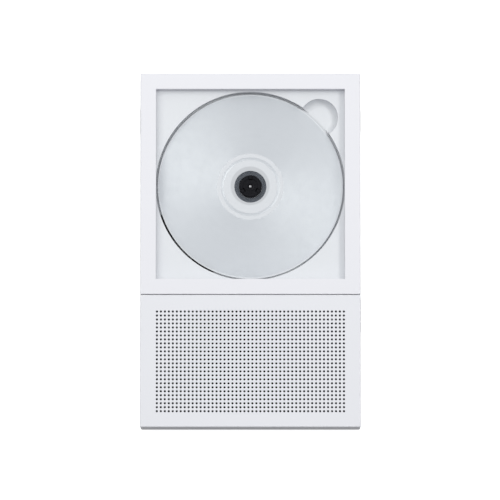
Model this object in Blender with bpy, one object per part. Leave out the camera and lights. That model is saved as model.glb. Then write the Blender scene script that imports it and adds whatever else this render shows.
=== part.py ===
"""Top-loading optical disc player with built-in speakers, lying on its back.

Metres, +Z up. The origin is under the middle of the case, on the plane that the feet rest on. The square disc
section is towards +Y and the speaker section towards -Y. The disc turns about a vertical axis at (0, DISC_Y).
"""

from math import cos, pi, radians, sin

import bmesh
import bpy
from mathutils import Matrix, Vector

# ---------------------------------------------------------------- driving dimensions
GAP = 0.0003  # air between two pieces that touch
WELD_DISTANCE = 0.000003  # joins the doubled points that a Boolean can leave

# disc and the room around it
DISC_DIAMETER = 0.120
DISC_HOLE = 0.015
DISC_THICKNESS = 0.0012
DISC_SIDE_ROOM = 0.0013  # disc edge to the well's wall
DISC_UNDER_ROOM = 0.0015  # disc to the well's floor
WINDOW_ROOM = 0.001  # disc edge to the frame's window
DISC_DROP = 0.0008  # disc's axis below the window's middle

# case, seen from above
BORDER = 0.010  # width of the frame's face
WINDOW_LONGER = 0.0013  # by how much the window is longer than wide
PANEL_LENGTH = 0.0853
SEAM = 0.0004
WALL = 0.002
CORNER_ROUND = 0.0008
EDGE_ROUND = 0.0005

# case, from the bottom up
FOOT_HEIGHT = 0.0012
FLOOR = 0.0022
MECHANISM_ROOM = 0.0096  # shell floor to the underside of the well
WELL_FLOOR = 0.0015
WELL_DEPTH = 0.0072
WELL_WALL = 0.0016
PLATE = 0.0018
FACE_DROP = 0.0065  # frame face down to the well plate

# finger notch in the well plate
NOTCH_RADIUS = 0.0123
NOTCH_COVE = 0.005
NOTCH_BEYOND_DISC = 0.0028  # its centre, outside the disc's edge
NOTCH_ANGLE = radians(45)

# opening under the disc for the mechanism, along its own direction
MECHANISM_ANGLE = radians(222)
SLOT_WIDTH = 0.050
SLOT_BACK = 0.023  # behind the spindle
SLOT_BEYOND_WELL = 0.0057

# feet and case screws
FOOT_RADIUS = 0.006
FOOT_SINK = 0.0006
FOOT_INSET = 0.0145
FOOT_CHAMFER = 0.0005
SCREW_RADIUS = 0.0012
SCREW_HEAD_RADIUS = 0.0024
SCREW_HEAD = 0.0014
SCREW_GRIP = 0.0034  # thread length inside a boss
SCREW_INSET = 0.005
PANEL_TOP_SCREW_X = 0.048
BOSS_RADIUS = 0.0027
POST_RADIUS = 0.0042
POST_BELOW_RIM = 0.0004
PLATE_CORNER = 0.0062  # square taken out of the plate round each boss

# spindle and hub
SHAFT_RADIUS = 0.001
SPINDLE_MOTOR_RADIUS = 0.011
SPINDLE_MOTOR_FLOOR = 0.001
TURNTABLE_RADIUS = 0.012
TURNTABLE_FLANGE = 0.0016
TURNTABLE_NECK_RADIUS = 0.005
BOSS_FIT = 0.0005  # turntable boss in the disc's hole
BOSS_ABOVE_SEAT = 0.0004
PAD_INNER = 0.0076
PAD_OUTER = 0.0103
PAD_THICKNESS = 0.0007
CAP_FIT = 0.00025  # hub cap in the disc's hole
CAP_HEIGHT = 0.0025
CAP_CHAMFER = 0.0009
CLAW_WIDTH = 0.002
CLAW_LENGTH = 0.00245
CLAW_HEIGHT = 0.0016
CLAW_PROUD = 0.0001
CLAW_ROOM = 0.0007  # behind a claw
CLAW_COUNT = 3

# mechanism: u runs out from the spindle, v across it
CHASSIS = 0.0016
CHASSIS_UNDER_WELL = 0.0004
CHASSIS_BACK = 0.020
CHASSIS_FRONT = 0.068
CHASSIS_HALF = 0.022
EAR_LENGTH = 0.0056
EAR_HALF = 0.0055
PICKUP_WINDOW_START = 0.014
PICKUP_WINDOW_HALF = 0.010
ROD_RADIUS = 0.0014
ROD_V = 0.013
ROD_BELOW_CHASSIS = 0.0026
LUG_START = 0.009
LUG_LENGTH = 0.003
LUG_HALF = 0.0026
LUG_HEIGHT = 0.0048
LENS_U = 0.0235  # lens at rest, at the start of the tracks
SLED_HALF_U = 0.0068
SLED_HALF_V = 0.0152
SLED_HEIGHT = 0.0045
TOWER_HALF = 0.008
NUT_HALF_U = 0.0025
NUT_REACH = 0.0017
NUT_HALF_Z = 0.0017
LENS_HOLDER = (0.010, 0.012, 0.0014)
LENS_RADIUS = 0.002
LENS_HEIGHT = 0.0011
LENS_STROKE = 0.0005  # focus travel each way
LEAD_SCREW_V = 0.0195
LEAD_SCREW_RADIUS = 0.0012
SLED_MOTOR_RADIUS = 0.0034
SLED_MOTOR_LENGTH = 0.015
SLED_MOTOR_FRONT = 0.006
DAMPER_RADIUS = 0.004
DAMPER_WAIST = 0.0027
DAMPER_BORE = 0.0016
DAMPER_FOOT = 0.0018
DAMPER_CAP = 0.0011
DAMPER_PLACES = ((-0.015, 0.016), (-0.015, -0.016), (0.069, 0.0))
DAMPER_SCREW_RADIUS = 0.0013
DAMPER_SCREW_HEAD = (0.0025, 0.001)
DAMPER_POST_RADIUS = 0.0036

# speakers
SPEAKER_X = 0.033
SPEAKER_RADIUS = 0.026
SPEAKER_FLANGE = 0.0012
SPEAKER_DEPTH = 0.0095
SPEAKER_RIM = 0.0031
BASKET_FOOT_RADIUS = 0.0158
BASKET_HOLE = 0.0089
MAGNET_RADIUS = 0.015
MAGNET_HEIGHT = 0.007
CONE_TRAVEL = 0.0005
SPEAKER_UNDER_FACE = 0.0022
CLOTH_ROOM = (0.006, 0.00665)  # cloth to the panel's walls, across and along
CLOTH_THICKNESS = 0.0004

# electronics and controls
BOARD_THICKNESS = 0.0016
BOARD_LIFT = 0.0016
BOARD_SIDE_ROOM = 0.0015
BOARD_RIGHT = 0.045
BOARD_END_ROOM = 0.0115
BOARD_CHIPS = (  # x, y from the middle of the speaker section, width, depth, height
    (0.0, 0.012, 0.010, 0.010, 0.0012),
    (0.002, -0.012, 0.007, 0.009, 0.0016),
    (-0.004, 0.026, 0.012, 0.004, 0.0020),
    (0.003, -0.025, 0.008, 0.005, 0.0018),
)
CAPACITOR_X = (-0.008, 0.009)
CAPACITOR_RADIUS = 0.003
CAPACITOR_HEIGHT = 0.0065
USB_SIZE = (0.0073, 0.0089, 0.0032)
USB_SHELL = 0.0003
USB_TONGUE = (0.0055, 0.0064, 0.0007)
USB_FROM_PANEL = 0.0112  # along Y, from the middle of the speaker section
JACK_SIZE = (0.0125, 0.0062, 0.0054)
JACK_NOSE_RADIUS = 0.0026
JACK_BORE_RADIUS = 0.0018
JACK_FROM_PANEL = -0.0048
PORT_ROOM = 0.0004
PORT_SINK = 0.0004  # socket mouths below the wall's outside
BATTERY = (0.064, 0.026, 0.0058)
BATTERY_X = -0.018
BATTERY_ROUND = 0.0012
CONTROL_HEIGHT = 0.011  # middle of the side controls above the resting plane
CONTROL_PROUD = 0.0004
CONTROL_TALL = 0.0036
CONTROL_FROM_TOP = 0.0295  # middle of slider and rocker, from the +Y end
SLIDER_LENGTH = 0.014
SLIDER_TRAVEL = 0.003
SLIDER_POCKET = 0.0012
SLIDER_NECK = (0.0022, 0.003, 0.0014)
KEY_LENGTH = 0.0066
KEY_PITCH = 0.0073
KEY_FLANGE = (0.001, 0.0062)
KEY_DEPTH = 0.0041
KEY_TRAVEL = 0.0005
KEY_ROW_FROM_SEAM = 0.0123
KEY_BOARD = (0.0016, 0.0236, 0.0110)
TACT_SIZE = (0.0009, 0.0034, 0.0034)
ROCKER_LENGTH = 0.016
ROCKER_DEPTH = 0.0028
ROCKER_SWING_ROOM = 0.0006
SWITCH_SIZE = (0.0055, 0.010, 0.0091)
VENT_COUNT = 9
VENT_SIZE = (0.0016, 0.022)
VENT_PITCH = 0.0055

# ---------------------------------------------------------------- what follows from them
DISC_RADIUS = DISC_DIAMETER / 2
HOLE_RADIUS = DISC_HOLE / 2
WELL_RADIUS = DISC_RADIUS + DISC_SIDE_ROOM
WINDOW = DISC_DIAMETER + 2 * WINDOW_ROOM
WINDOW_LENGTH = WINDOW + WINDOW_LONGER
WIDTH = WINDOW + 2 * BORDER
FRAME_LENGTH = WINDOW_LENGTH + 2 * BORDER
LENGTH = FRAME_LENGTH + SEAM + PANEL_LENGTH
HALF_WIDTH = WIDTH / 2
HALF_LENGTH = LENGTH / 2
WINDOW_Y = HALF_LENGTH - FRAME_LENGTH / 2
DISC_Y = WINDOW_Y - DISC_DROP
PANEL_Y = PANEL_LENGTH / 2 - HALF_LENGTH
FRAME_LOW_Y = HALF_LENGTH - FRAME_LENGTH
PANEL_HIGH_Y = PANEL_LENGTH - HALF_LENGTH

SHELL_FLOOR_Z = FOOT_HEIGHT + FLOOR
WELL_UNDER_Z = SHELL_FLOOR_Z + MECHANISM_ROOM
WELL_FLOOR_Z = WELL_UNDER_Z + WELL_FLOOR
DISC_Z = WELL_FLOOR_Z + DISC_UNDER_ROOM
PLATE_Z = WELL_FLOOR_Z + WELL_DEPTH
FRONT_Z = PLATE_Z - PLATE
SHELL_TOP_Z = FRONT_Z - GAP
FACE_Z = PLATE_Z + FACE_DROP
UNDER_FACE_Z = FACE_Z - WALL

CHASSIS_TOP_Z = WELL_UNDER_Z - CHASSIS_UNDER_WELL
CHASSIS_Z = CHASSIS_TOP_Z - CHASSIS
ROD_Z = CHASSIS_Z - ROD_BELOW_CHASSIS
LEAD_SCREW_Z = CHASSIS_Z - GAP - SLED_MOTOR_RADIUS
SEAT_Z = DISC_Z - GAP  # top of the rubber ring
TURNTABLE_TOP_Z = DISC_Z + BOSS_ABOVE_SEAT
CAP_Z = TURNTABLE_TOP_Z + GAP
CAP_TOP_Z = CAP_Z + CAP_HEIGHT
CAP_RADIUS = HOLE_RADIUS - CAP_FIT
SIDE_Y = HALF_LENGTH - CONTROL_FROM_TOP
KEY_ROW_Y = PANEL_HIGH_Y - KEY_ROW_FROM_SEAM

CORNER_SCREW_X = HALF_WIDTH - SCREW_INSET
SCREW_HEAD_ROOM = SCREW_HEAD + GAP * 2
SPEAKER_TOP_Z = UNDER_FACE_Z - SPEAKER_UNDER_FACE
BASKET_FOOT_Z = SPEAKER_TOP_Z - SPEAKER_DEPTH
MAGNET_TOP_Z = BASKET_FOOT_Z - GAP
BOARD_Z = SHELL_FLOOR_Z + BOARD_LIFT
BOARD_TOP_Z = BOARD_Z + BOARD_THICKNESS


# ---------------------------------------------------------------- tools for making solids
def principled(name, color, roughness, metallic=0.0, transmission=0.0):
    """A material with one Principled BSDF."""
    material = bpy.data.materials.new(name)
    material.use_nodes = True
    shader = material.node_tree.nodes["Principled BSDF"]
    shader.inputs["Base Color"].default_value = (*color, 1.0)
    shader.inputs["Roughness"].default_value = roughness
    shader.inputs["Metallic"].default_value = metallic
    shader.inputs["Transmission Weight"].default_value = transmission
    return material


def box(low, high):
    """A bmesh box between two corners."""
    low, high = Vector(low), Vector(high)
    shape = bmesh.new()
    bmesh.ops.create_cube(shape, size=1.0)
    size = high - low
    bmesh.ops.scale(shape, vec=size, verts=shape.verts)
    bmesh.ops.translate(shape, vec=(low + high) / 2, verts=shape.verts)
    return shape


def centred_box(centre, size):
    centre, size = Vector(centre), Vector(size)
    return box(centre - size / 2, centre + size / 2)


def round_edges(shape, wanted, width, segments=2):
    """Bevels the edges for which wanted(edge) is true."""
    edges = [edge for edge in shape.edges if wanted(edge)]
    bmesh.ops.bevel(
        shape, geom=edges, offset=width, offset_type="OFFSET", segments=segments, profile=0.5, affect="EDGES"
    )
    return shape


def upright(edge):
    a, b = (vert.co for vert in edge.verts)
    return abs(a.x - b.x) < 1e-6 and abs(a.y - b.y) < 1e-6


def along_top(z):
    """A test for edges that lie at height z."""
    return lambda edge: all(abs(vert.co.z - z) < 1e-6 for vert in edge.verts)


def along_x_axis(length):
    """A test for edges that run along X for more than this length."""
    return lambda edge: abs(edge.verts[0].co.x - edge.verts[1].co.x) > length


def lathe(profile, steps, centre=(0.0, 0.0)):
    """Turns a profile of (radius, z) points about a vertical axis. One that starts off the axis is a ring."""
    shape = bmesh.new()
    verts = [shape.verts.new((radius, 0.0, z)) for radius, z in profile]
    ring = profile[0][0] > 0
    pairs = list(zip(verts, verts[1:]))
    if ring:
        pairs.append((verts[-1], verts[0]))
    edges = [shape.edges.new(pair) for pair in pairs]
    bmesh.ops.spin(
        shape, geom=verts + edges, cent=(0, 0, 0), axis=(0, 0, 1), angle=2 * pi, steps=steps, use_merge=True
    )
    bmesh.ops.remove_doubles(shape, verts=shape.verts, dist=1e-6)
    bmesh.ops.recalc_face_normals(shape, faces=shape.faces)
    bmesh.ops.translate(shape, vec=(*centre, 0.0), verts=shape.verts)
    return shape


def cylinder(centre, radius, low, high, steps=24):
    return lathe([(0.0, low), (radius, low), (radius, high), (0.0, high)], steps, centre)


def lie_along_x(shape, centre):
    """Lays a shape turned about Z down along X, with its own origin at centre."""
    bmesh.ops.rotate(shape, cent=(0, 0, 0), matrix=Matrix.Rotation(pi / 2, 3, "Y"), verts=shape.verts)
    bmesh.ops.translate(shape, vec=centre, verts=shape.verts)
    return shape


def prism_across(outline, width):
    """Extrudes an outline of (x, z) points by width, centred on the XZ plane."""
    shape = bmesh.new()
    verts = [shape.verts.new((x, -width / 2, z)) for x, z in outline]
    face = shape.faces.new(verts)
    grown = bmesh.ops.extrude_face_region(shape, geom=[face])["geom"]
    moved = [item for item in grown if isinstance(item, bmesh.types.BMVert)]
    bmesh.ops.translate(shape, vec=(0, width, 0), verts=moved)
    bmesh.ops.recalc_face_normals(shape, faces=shape.faces)
    return shape


def merged(*shapes):
    """Several separate bodies in one bmesh, for a cutter or for a piece that is joined on."""
    whole = bmesh.new()
    for shape in shapes:
        mesh = bpy.data.meshes.new("shape")
        shape.to_mesh(mesh)
        shape.free()
        whole.from_mesh(mesh)
        bpy.data.meshes.remove(mesh)
    return whole


def place(name, shape, material=None, parent=None, origin=(0.0, 0.0, 0.0)):
    """Makes an object of a bmesh given in its parent's space, with the object's origin at origin."""
    bmesh.ops.translate(shape, vec=-Vector(origin), verts=shape.verts)
    mesh = bpy.data.meshes.new(name)
    shape.to_mesh(mesh)
    shape.free()
    mesh.shade_smooth()
    mesh.set_sharp_from_angle(angle=radians(35))
    piece = bpy.data.objects.new(name, mesh)
    bpy.context.scene.collection.objects.link(piece)
    piece.location = origin
    piece.parent = parent
    if material:
        mesh.materials.append(material)
    return piece


def combine(piece, shape, operation, parent=None):
    """Adds a Boolean of the piece with a hidden tool. The tool's shape is in its parent's space."""
    count = len(piece.modifiers) // 2 + 1
    tool = place(f"tool_{piece.name}_{count}", shape, parent=parent)
    tool.hide_render = True
    tool.display_type = "WIRE"
    modifier = piece.modifiers.new(f"{operation.lower()}_{count}", "BOOLEAN")
    modifier.operation = operation
    modifier.object = tool
    modifier.solver = "EXACT"
    weld = piece.modifiers.new(f"weld_{count}", "WELD")
    weld.merge_threshold = WELD_DISTANCE
    return piece


def cut(piece, *shapes, parent=None):
    return combine(piece, merged(*shapes), "DIFFERENCE", parent)


def join(piece, *shapes, parent=None):
    return combine(piece, merged(*shapes), "UNION", parent)


def arc(centre, radius, start, end, steps):
    """Points of a round stretch of an outline, angles in degrees."""
    angles = [radians(start + (end - start) * i / steps) for i in range(steps + 1)]
    return [(centre[0] + radius * cos(a), centre[1] + radius * sin(a)) for a in angles]


# ---------------------------------------------------------------- case
def screw_places():
    """Where the case screws stand: four in the disc frame, then four in the speaker panel."""
    high = HALF_LENGTH - SCREW_INSET
    middle = FRAME_LOW_Y + SCREW_INSET
    frame = [(side * CORNER_SCREW_X, y) for y in (high, middle) for side in (-1, 1)]
    top = [(side * PANEL_TOP_SCREW_X, PANEL_HIGH_Y - SCREW_INSET) for side in (-1, 1)]
    end = [(side * CORNER_SCREW_X, SCREW_INSET - HALF_LENGTH) for side in (-1, 1)]
    return frame, top + end


def foot_places():
    x = HALF_WIDTH - FOOT_INSET - BORDER / 2
    y = HALF_LENGTH - FOOT_INSET
    return [(sx * x, sy * y) for sy in (-1, 1) for sx in (-1, 1)]


def damper_post(u, v):
    """Posts in the shell's own space, for a damper given along the mechanism."""
    x = u * cos(MECHANISM_ANGLE) - v * sin(MECHANISM_ANGLE)
    y = u * sin(MECHANISM_ANGLE) + v * cos(MECHANISM_ANGLE)
    return (x, y + DISC_Y)


def make_rear_shell(material):
    """Open tray that carries everything, with the sockets on its -X side and the controls on both sides."""
    shape = box((-HALF_WIDTH, -HALF_LENGTH, FOOT_HEIGHT), (HALF_WIDTH, HALF_LENGTH, SHELL_TOP_Z))
    round_edges(shape, upright, CORNER_ROUND)
    round_edges(shape, along_top(FOOT_HEIGHT), EDGE_ROUND)
    shell = place("rear_shell", shape, material)
    inside_x, inside_y = HALF_WIDTH - WALL, HALF_LENGTH - WALL
    cut(shell, box((-inside_x, -inside_y, SHELL_FLOOR_Z), (inside_x, inside_y, SHELL_TOP_Z + WALL)))

    frame_screws, panel_screws = screw_places()
    screws = frame_screws + panel_screws
    root_z = SHELL_FLOOR_Z - FLOOR / 4
    posts = [cylinder(p, POST_RADIUS, root_z, SHELL_TOP_Z - POST_BELOW_RIM, 16) for p in screws]
    damper_top = CHASSIS_Z - GAP - DAMPER_FOOT - GAP
    dampers = [damper_post(u, v) for u, v in DAMPER_PLACES]
    posts += [cylinder(p, DAMPER_POST_RADIUS, root_z, damper_top, 12) for p in dampers]
    join(shell, *posts)

    ledge_z = FOOT_HEIGHT + SCREW_HEAD_ROOM + GAP
    tools = []
    for p in screws:
        bore = SCREW_RADIUS + GAP
        head = SCREW_HEAD_RADIUS + GAP
        profile = [(0, 0), (head, 0), (head, ledge_z), (bore, ledge_z), (bore, FACE_Z), (0, FACE_Z)]
        tools.append(lathe(profile, 12, p))
    for p in dampers:
        tools.append(cylinder(p, DAMPER_BORE, SHELL_FLOOR_Z + FLOOR / 2, CHASSIS_Z, 12))
    for p in foot_places():
        tools.append(cylinder(p, FOOT_RADIUS + GAP, 0, FOOT_HEIGHT + FOOT_SINK + GAP, 20))
    for i in range(VENT_COUNT):
        x = (i - (VENT_COUNT - 1) / 2) * VENT_PITCH
        tools.append(centred_box((x, PANEL_Y, SHELL_FLOOR_Z), (*VENT_SIZE, 3 * FLOOR)))
    cut(shell, *tools)

    room = 2 * PORT_ROOM
    usb_z, jack_z = usb_centre().z, jack_centre().z
    wall_x = HALF_WIDTH - WALL / 2
    through = 3 * WALL
    usb = centred_box((-wall_x, usb_centre().y, usb_z), (through, USB_SIZE[1] + room, USB_SIZE[2] + room))
    round_edges(usb, along_x_axis(WALL), USB_SIZE[2] / 2, 3)
    jack = cylinder((0, 0), JACK_NOSE_RADIUS + PORT_ROOM, -through / 2, through / 2, 20)
    lie_along_x(jack, (-wall_x, jack_centre().y, jack_z))
    rocker = centred_box(
        (-wall_x, SIDE_Y, CONTROL_HEIGHT),
        (through, ROCKER_LENGTH + 2 * ROCKER_SWING_ROOM, CONTROL_TALL + 2 * GAP),
    )
    half = SLIDER_LENGTH / 2 + GAP
    tall = CONTROL_TALL / 2 + GAP
    pocket = box(
        (HALF_WIDTH - SLIDER_POCKET, SIDE_Y - half - SLIDER_TRAVEL, CONTROL_HEIGHT - tall),
        (HALF_WIDTH + WALL, SIDE_Y + half, CONTROL_HEIGHT + tall),
    )
    keys = [
        centred_box((wall_x, y, CONTROL_HEIGHT), (through, KEY_LENGTH + 2 * GAP, CONTROL_TALL + 2 * GAP))
        for y in key_places()
    ]
    cut(shell, usb, jack, rocker, pocket, *keys)
    half = SLIDER_NECK[1] / 2 + GAP
    tall = SLIDER_NECK[2] / 2 + GAP
    neck_slot = box(
        (HALF_WIDTH - 2 * WALL, SIDE_Y - half - SLIDER_TRAVEL, CONTROL_HEIGHT - tall),
        (HALF_WIDTH - WALL / 4, SIDE_Y + half, CONTROL_HEIGHT + tall),
    )
    cut(shell, neck_slot)
    return shell


def front_skin(name, material, low_y, high_y):
    """A front piece: an outer skirt and a face, open below."""
    shape = box((-HALF_WIDTH, low_y, FRONT_Z), (HALF_WIDTH, high_y, FACE_Z))
    round_edges(shape, upright, CORNER_ROUND)
    round_edges(shape, along_top(FACE_Z), EDGE_ROUND)
    return place(name, shape, material)


def screw_bosses(skin, places):
    """Bosses under a front piece, with the holes that the case screws bite into."""
    join(skin, *[cylinder(p, BOSS_RADIUS, FRONT_Z, UNDER_FACE_Z + WALL / 4, 16) for p in places])
    top = FRONT_Z + SCREW_GRIP + 2 * GAP
    cut(skin, *[cylinder(p, SCREW_RADIUS + GAP, FRONT_Z - WALL, top, 12) for p in places])


def window_block(half, low, high):
    """A block round the window's middle, as much longer than wide as the window is."""
    half_y = half + WINDOW_LONGER / 2
    return box((-half, WINDOW_Y - half_y, low), (half, WINDOW_Y + half_y, high))


def make_disc_frame(material):
    frame = front_skin("disc_frame", material, FRAME_LOW_Y, HALF_LENGTH)
    cut(frame, window_block(WINDOW / 2, FRONT_Z - WALL, FACE_Z + WALL))
    lip_z = PLATE_Z + GAP
    cut(frame, window_block(HALF_WIDTH - WALL, FRONT_Z - WALL, lip_z))
    low_z = lip_z - WALL / 4
    x, y = HALF_WIDTH - WALL, FRAME_LENGTH / 2 - WALL
    channel = BORDER - 2 * WALL
    for wide, tall in ((channel, 2 * y), (2 * x, channel)):
        first = box((-x, WINDOW_Y - y, low_z), (wide - x, WINDOW_Y - y + tall, UNDER_FACE_Z))
        second = box((x - wide, WINDOW_Y + y - tall, low_z), (x, WINDOW_Y + y, UNDER_FACE_Z))
        cut(frame, first, second)
    screw_bosses(frame, screw_places()[0])
    return frame


def make_speaker_panel(material):
    panel = front_skin("speaker_panel", material, -HALF_LENGTH, PANEL_HIGH_Y)
    inside = HALF_WIDTH - WALL
    low, high = WALL - HALF_LENGTH, PANEL_HIGH_Y - WALL
    cut(panel, box((-inside, low, FRONT_Z - WALL), (inside, high, UNDER_FACE_Z)))
    screw_bosses(panel, screw_places()[1])
    return panel


def make_well_plate(material):
    """Deck inside the frame: a round well for the disc, a finger notch and the mechanism's opening."""
    half = HALF_WIDTH - WALL - GAP
    plate = place("well_plate", window_block(half, FRONT_Z, PLATE_Z), material)
    notch = notch_centre()
    axis = (0.0, DISC_Y)
    cup = cylinder(axis, WELL_RADIUS + WELL_WALL, WELL_UNDER_Z, FRONT_Z + PLATE / 2, 96)
    join(plate, cup)
    join(plate, cylinder(notch, NOTCH_RADIUS + WELL_WALL, WELL_UNDER_Z, FRONT_Z + PLATE / 3, 40))
    cut(plate, cylinder(axis, WELL_RADIUS, WELL_FLOOR_Z, PLATE_Z + PLATE, 96))
    cove = arc((NOTCH_RADIUS - NOTCH_COVE, WELL_FLOOR_Z + NOTCH_COVE), NOTCH_COVE, -90, 0, 6)
    profile = [(0, WELL_FLOOR_Z), *cove, (NOTCH_RADIUS, PLATE_Z + PLATE), (0, PLATE_Z + PLATE)]
    cut(plate, lathe(profile, 40, notch))
    opening = box(
        (-SLOT_BACK, -SLOT_WIDTH / 2, WELL_UNDER_Z - WELL_FLOOR),
        (WELL_RADIUS + SLOT_BEYOND_WELL, SLOT_WIDTH / 2, FRONT_Z - GAP),
    )
    cut(plate, opening, parent=bpy.data.objects["mechanism"])
    corner = half - PLATE_CORNER / 2 + GAP
    size = (PLATE_CORNER, PLATE_CORNER, 4 * PLATE)
    corner_y = corner + WINDOW_LONGER / 2
    places = [(sx * corner, WINDOW_Y + sy * corner_y, FRONT_Z) for sx in (-1, 1) for sy in (-1, 1)]
    cut(plate, *[centred_box(p, size) for p in places])
    return plate


def notch_centre():
    reach = DISC_RADIUS + NOTCH_BEYOND_DISC
    return (reach * cos(NOTCH_ANGLE), DISC_Y + reach * sin(NOTCH_ANGLE))


def make_feet(material):
    for i, p in enumerate(foot_places(), 1):
        top = FOOT_HEIGHT + FOOT_SINK
        small = FOOT_RADIUS - FOOT_CHAMFER
        profile = [(0, 0), (small, 0), (FOOT_RADIUS, FOOT_CHAMFER), (FOOT_RADIUS, top), (0, top)]
        place(f"foot_{i}", lathe(profile, 20, p), material)


def make_case_screws(material):
    frame, panel = screw_places()
    for i, p in enumerate(frame + panel, 1):
        low = FOOT_HEIGHT + GAP
        under = low + SCREW_HEAD
        tip = FRONT_Z + SCREW_GRIP
        head = SCREW_HEAD_RADIUS
        shank = SCREW_RADIUS
        profile = [(0, low), (head, low), (head, under), (shank, under), (shank, tip - shank / 2), (0, tip)]
        place(f"case_screw_{i}", lathe(profile, 12, p), material)


# ---------------------------------------------------------------- disc, hub and spindle
def make_disc(material, spindle):
    low, high = DISC_Z, DISC_Z + DISC_THICKNESS
    profile = [(HOLE_RADIUS, low), (DISC_RADIUS, low), (DISC_RADIUS, high), (HOLE_RADIUS, high)]
    place("disc", lathe(profile, 96), material, spindle)


def make_turntable(material, spindle):
    """Flange with a groove for the rubber ring and a boss that centres the disc."""
    neck_z = CHASSIS_TOP_Z + GAP * 2
    bore = SHAFT_RADIUS + GAP
    boss = HOLE_RADIUS - BOSS_FIT
    groove_z = SEAT_Z - PAD_THICKNESS - GAP
    shoulder_z = SEAT_Z - GAP
    profile = [
        (bore, neck_z),
        (TURNTABLE_NECK_RADIUS, neck_z),
        (TURNTABLE_NECK_RADIUS, shoulder_z - TURNTABLE_FLANGE),
        (TURNTABLE_RADIUS, shoulder_z - TURNTABLE_FLANGE),
        (TURNTABLE_RADIUS, shoulder_z),
        (PAD_OUTER + GAP, shoulder_z),
        (PAD_OUTER + GAP, groove_z),
        (PAD_INNER - GAP, groove_z),
        (PAD_INNER - GAP, shoulder_z),
        (boss, shoulder_z),
        (boss, TURNTABLE_TOP_Z),
        (bore, TURNTABLE_TOP_Z),
    ]
    place("turntable", lathe(profile, 30), material, spindle)


def make_turntable_pad(material, spindle):
    low = SEAT_Z - PAD_THICKNESS
    profile = [(PAD_INNER, low), (PAD_OUTER, low), (PAD_OUTER, SEAT_Z), (PAD_INNER, SEAT_Z)]
    place("turntable_pad", lathe(profile, 30), material, spindle)


def make_hub_cap(material, spindle):
    """Centring cap, with a slot for each claw and a hole that shows the shaft's tip."""
    hole = SHAFT_RADIUS + GAP * 2
    profile = [
        (hole, CAP_Z),
        (CAP_RADIUS, CAP_Z),
        (CAP_RADIUS, CAP_TOP_Z - CAP_CHAMFER),
        (CAP_RADIUS - CAP_CHAMFER, CAP_TOP_Z),
        (2 * hole, CAP_TOP_Z),
        (1.6 * hole, CAP_TOP_Z - CAP_CHAMFER / 2),
        (hole, CAP_TOP_Z - CAP_CHAMFER / 2),
    ]
    cap = place("hub_cap", lathe(profile, 30), material, spindle)
    slot_back = CAP_RADIUS + CLAW_PROUD - CLAW_LENGTH - CLAW_ROOM
    half = CLAW_WIDTH / 2 + GAP
    for i in range(CLAW_COUNT):
        slot = box((slot_back, -half, CAP_Z + GAP), (2 * CAP_RADIUS, half, CAP_TOP_Z + CAP_HEIGHT))
        turn = Matrix.Rotation(claw_angle(i), 3, "Z")
        bmesh.ops.rotate(slot, cent=(0, 0, 0), matrix=turn, verts=slot.verts)
        cut(cap, slot, parent=spindle)


def claw_angle(i):
    return radians(90) + i * 2 * pi / CLAW_COUNT


def make_claws(material, spindle):
    """Sprung claws that slide inwards as the disc is pressed over them."""
    for i in range(CLAW_COUNT):
        tip = CAP_RADIUS + CLAW_PROUD
        back = tip - CLAW_LENGTH
        low = CAP_Z + 2 * GAP
        high = low + CLAW_HEIGHT
        outline = [
            (back, low),
            (tip - CLAW_LENGTH / 6, low),
            (tip, low + CLAW_HEIGHT / 4),
            (tip, low + CLAW_HEIGHT / 2),
            (tip - CLAW_LENGTH / 3, high),
            (back, high),
        ]
        shape = prism_across(outline, CLAW_WIDTH)
        turn = Matrix.Rotation(claw_angle(i), 3, "Z")
        bmesh.ops.rotate(shape, cent=(0, 0, 0), matrix=turn, verts=shape.verts)
        place(f"hub_claw_{i + 1}", shape, material, spindle)


def make_spindle(motor_material, shaft_material, spindle):
    low = SHELL_FLOOR_Z + SPINDLE_MOTOR_FLOOR
    top = CHASSIS_Z - GAP
    bore = SHAFT_RADIUS + GAP
    radius = SPINDLE_MOTOR_RADIUS
    blind = low + SPINDLE_MOTOR_FLOOR / 2
    step = radius * 0.82
    profile = [
        (0, low),
        (step, low),
        (radius, low + GAP * 2),
        (radius, top - GAP * 2),
        (step, top),
        (bore, top),
        (bore, blind),
        (0, blind),
    ]
    motor = lathe(profile, 24)
    place("spindle_motor", motor, motor_material, bpy.data.objects["mechanism"])
    foot = blind + GAP
    tip = CAP_TOP_Z - GAP
    profile = [
        (0, foot),
        (SHAFT_RADIUS, foot),
        (SHAFT_RADIUS, tip - SHAFT_RADIUS / 3),
        (SHAFT_RADIUS * 0.7, tip - SHAFT_RADIUS / 10),
        (0, tip),
    ]
    place("spindle_shaft", lathe(profile, 16), shaft_material, spindle)


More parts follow.
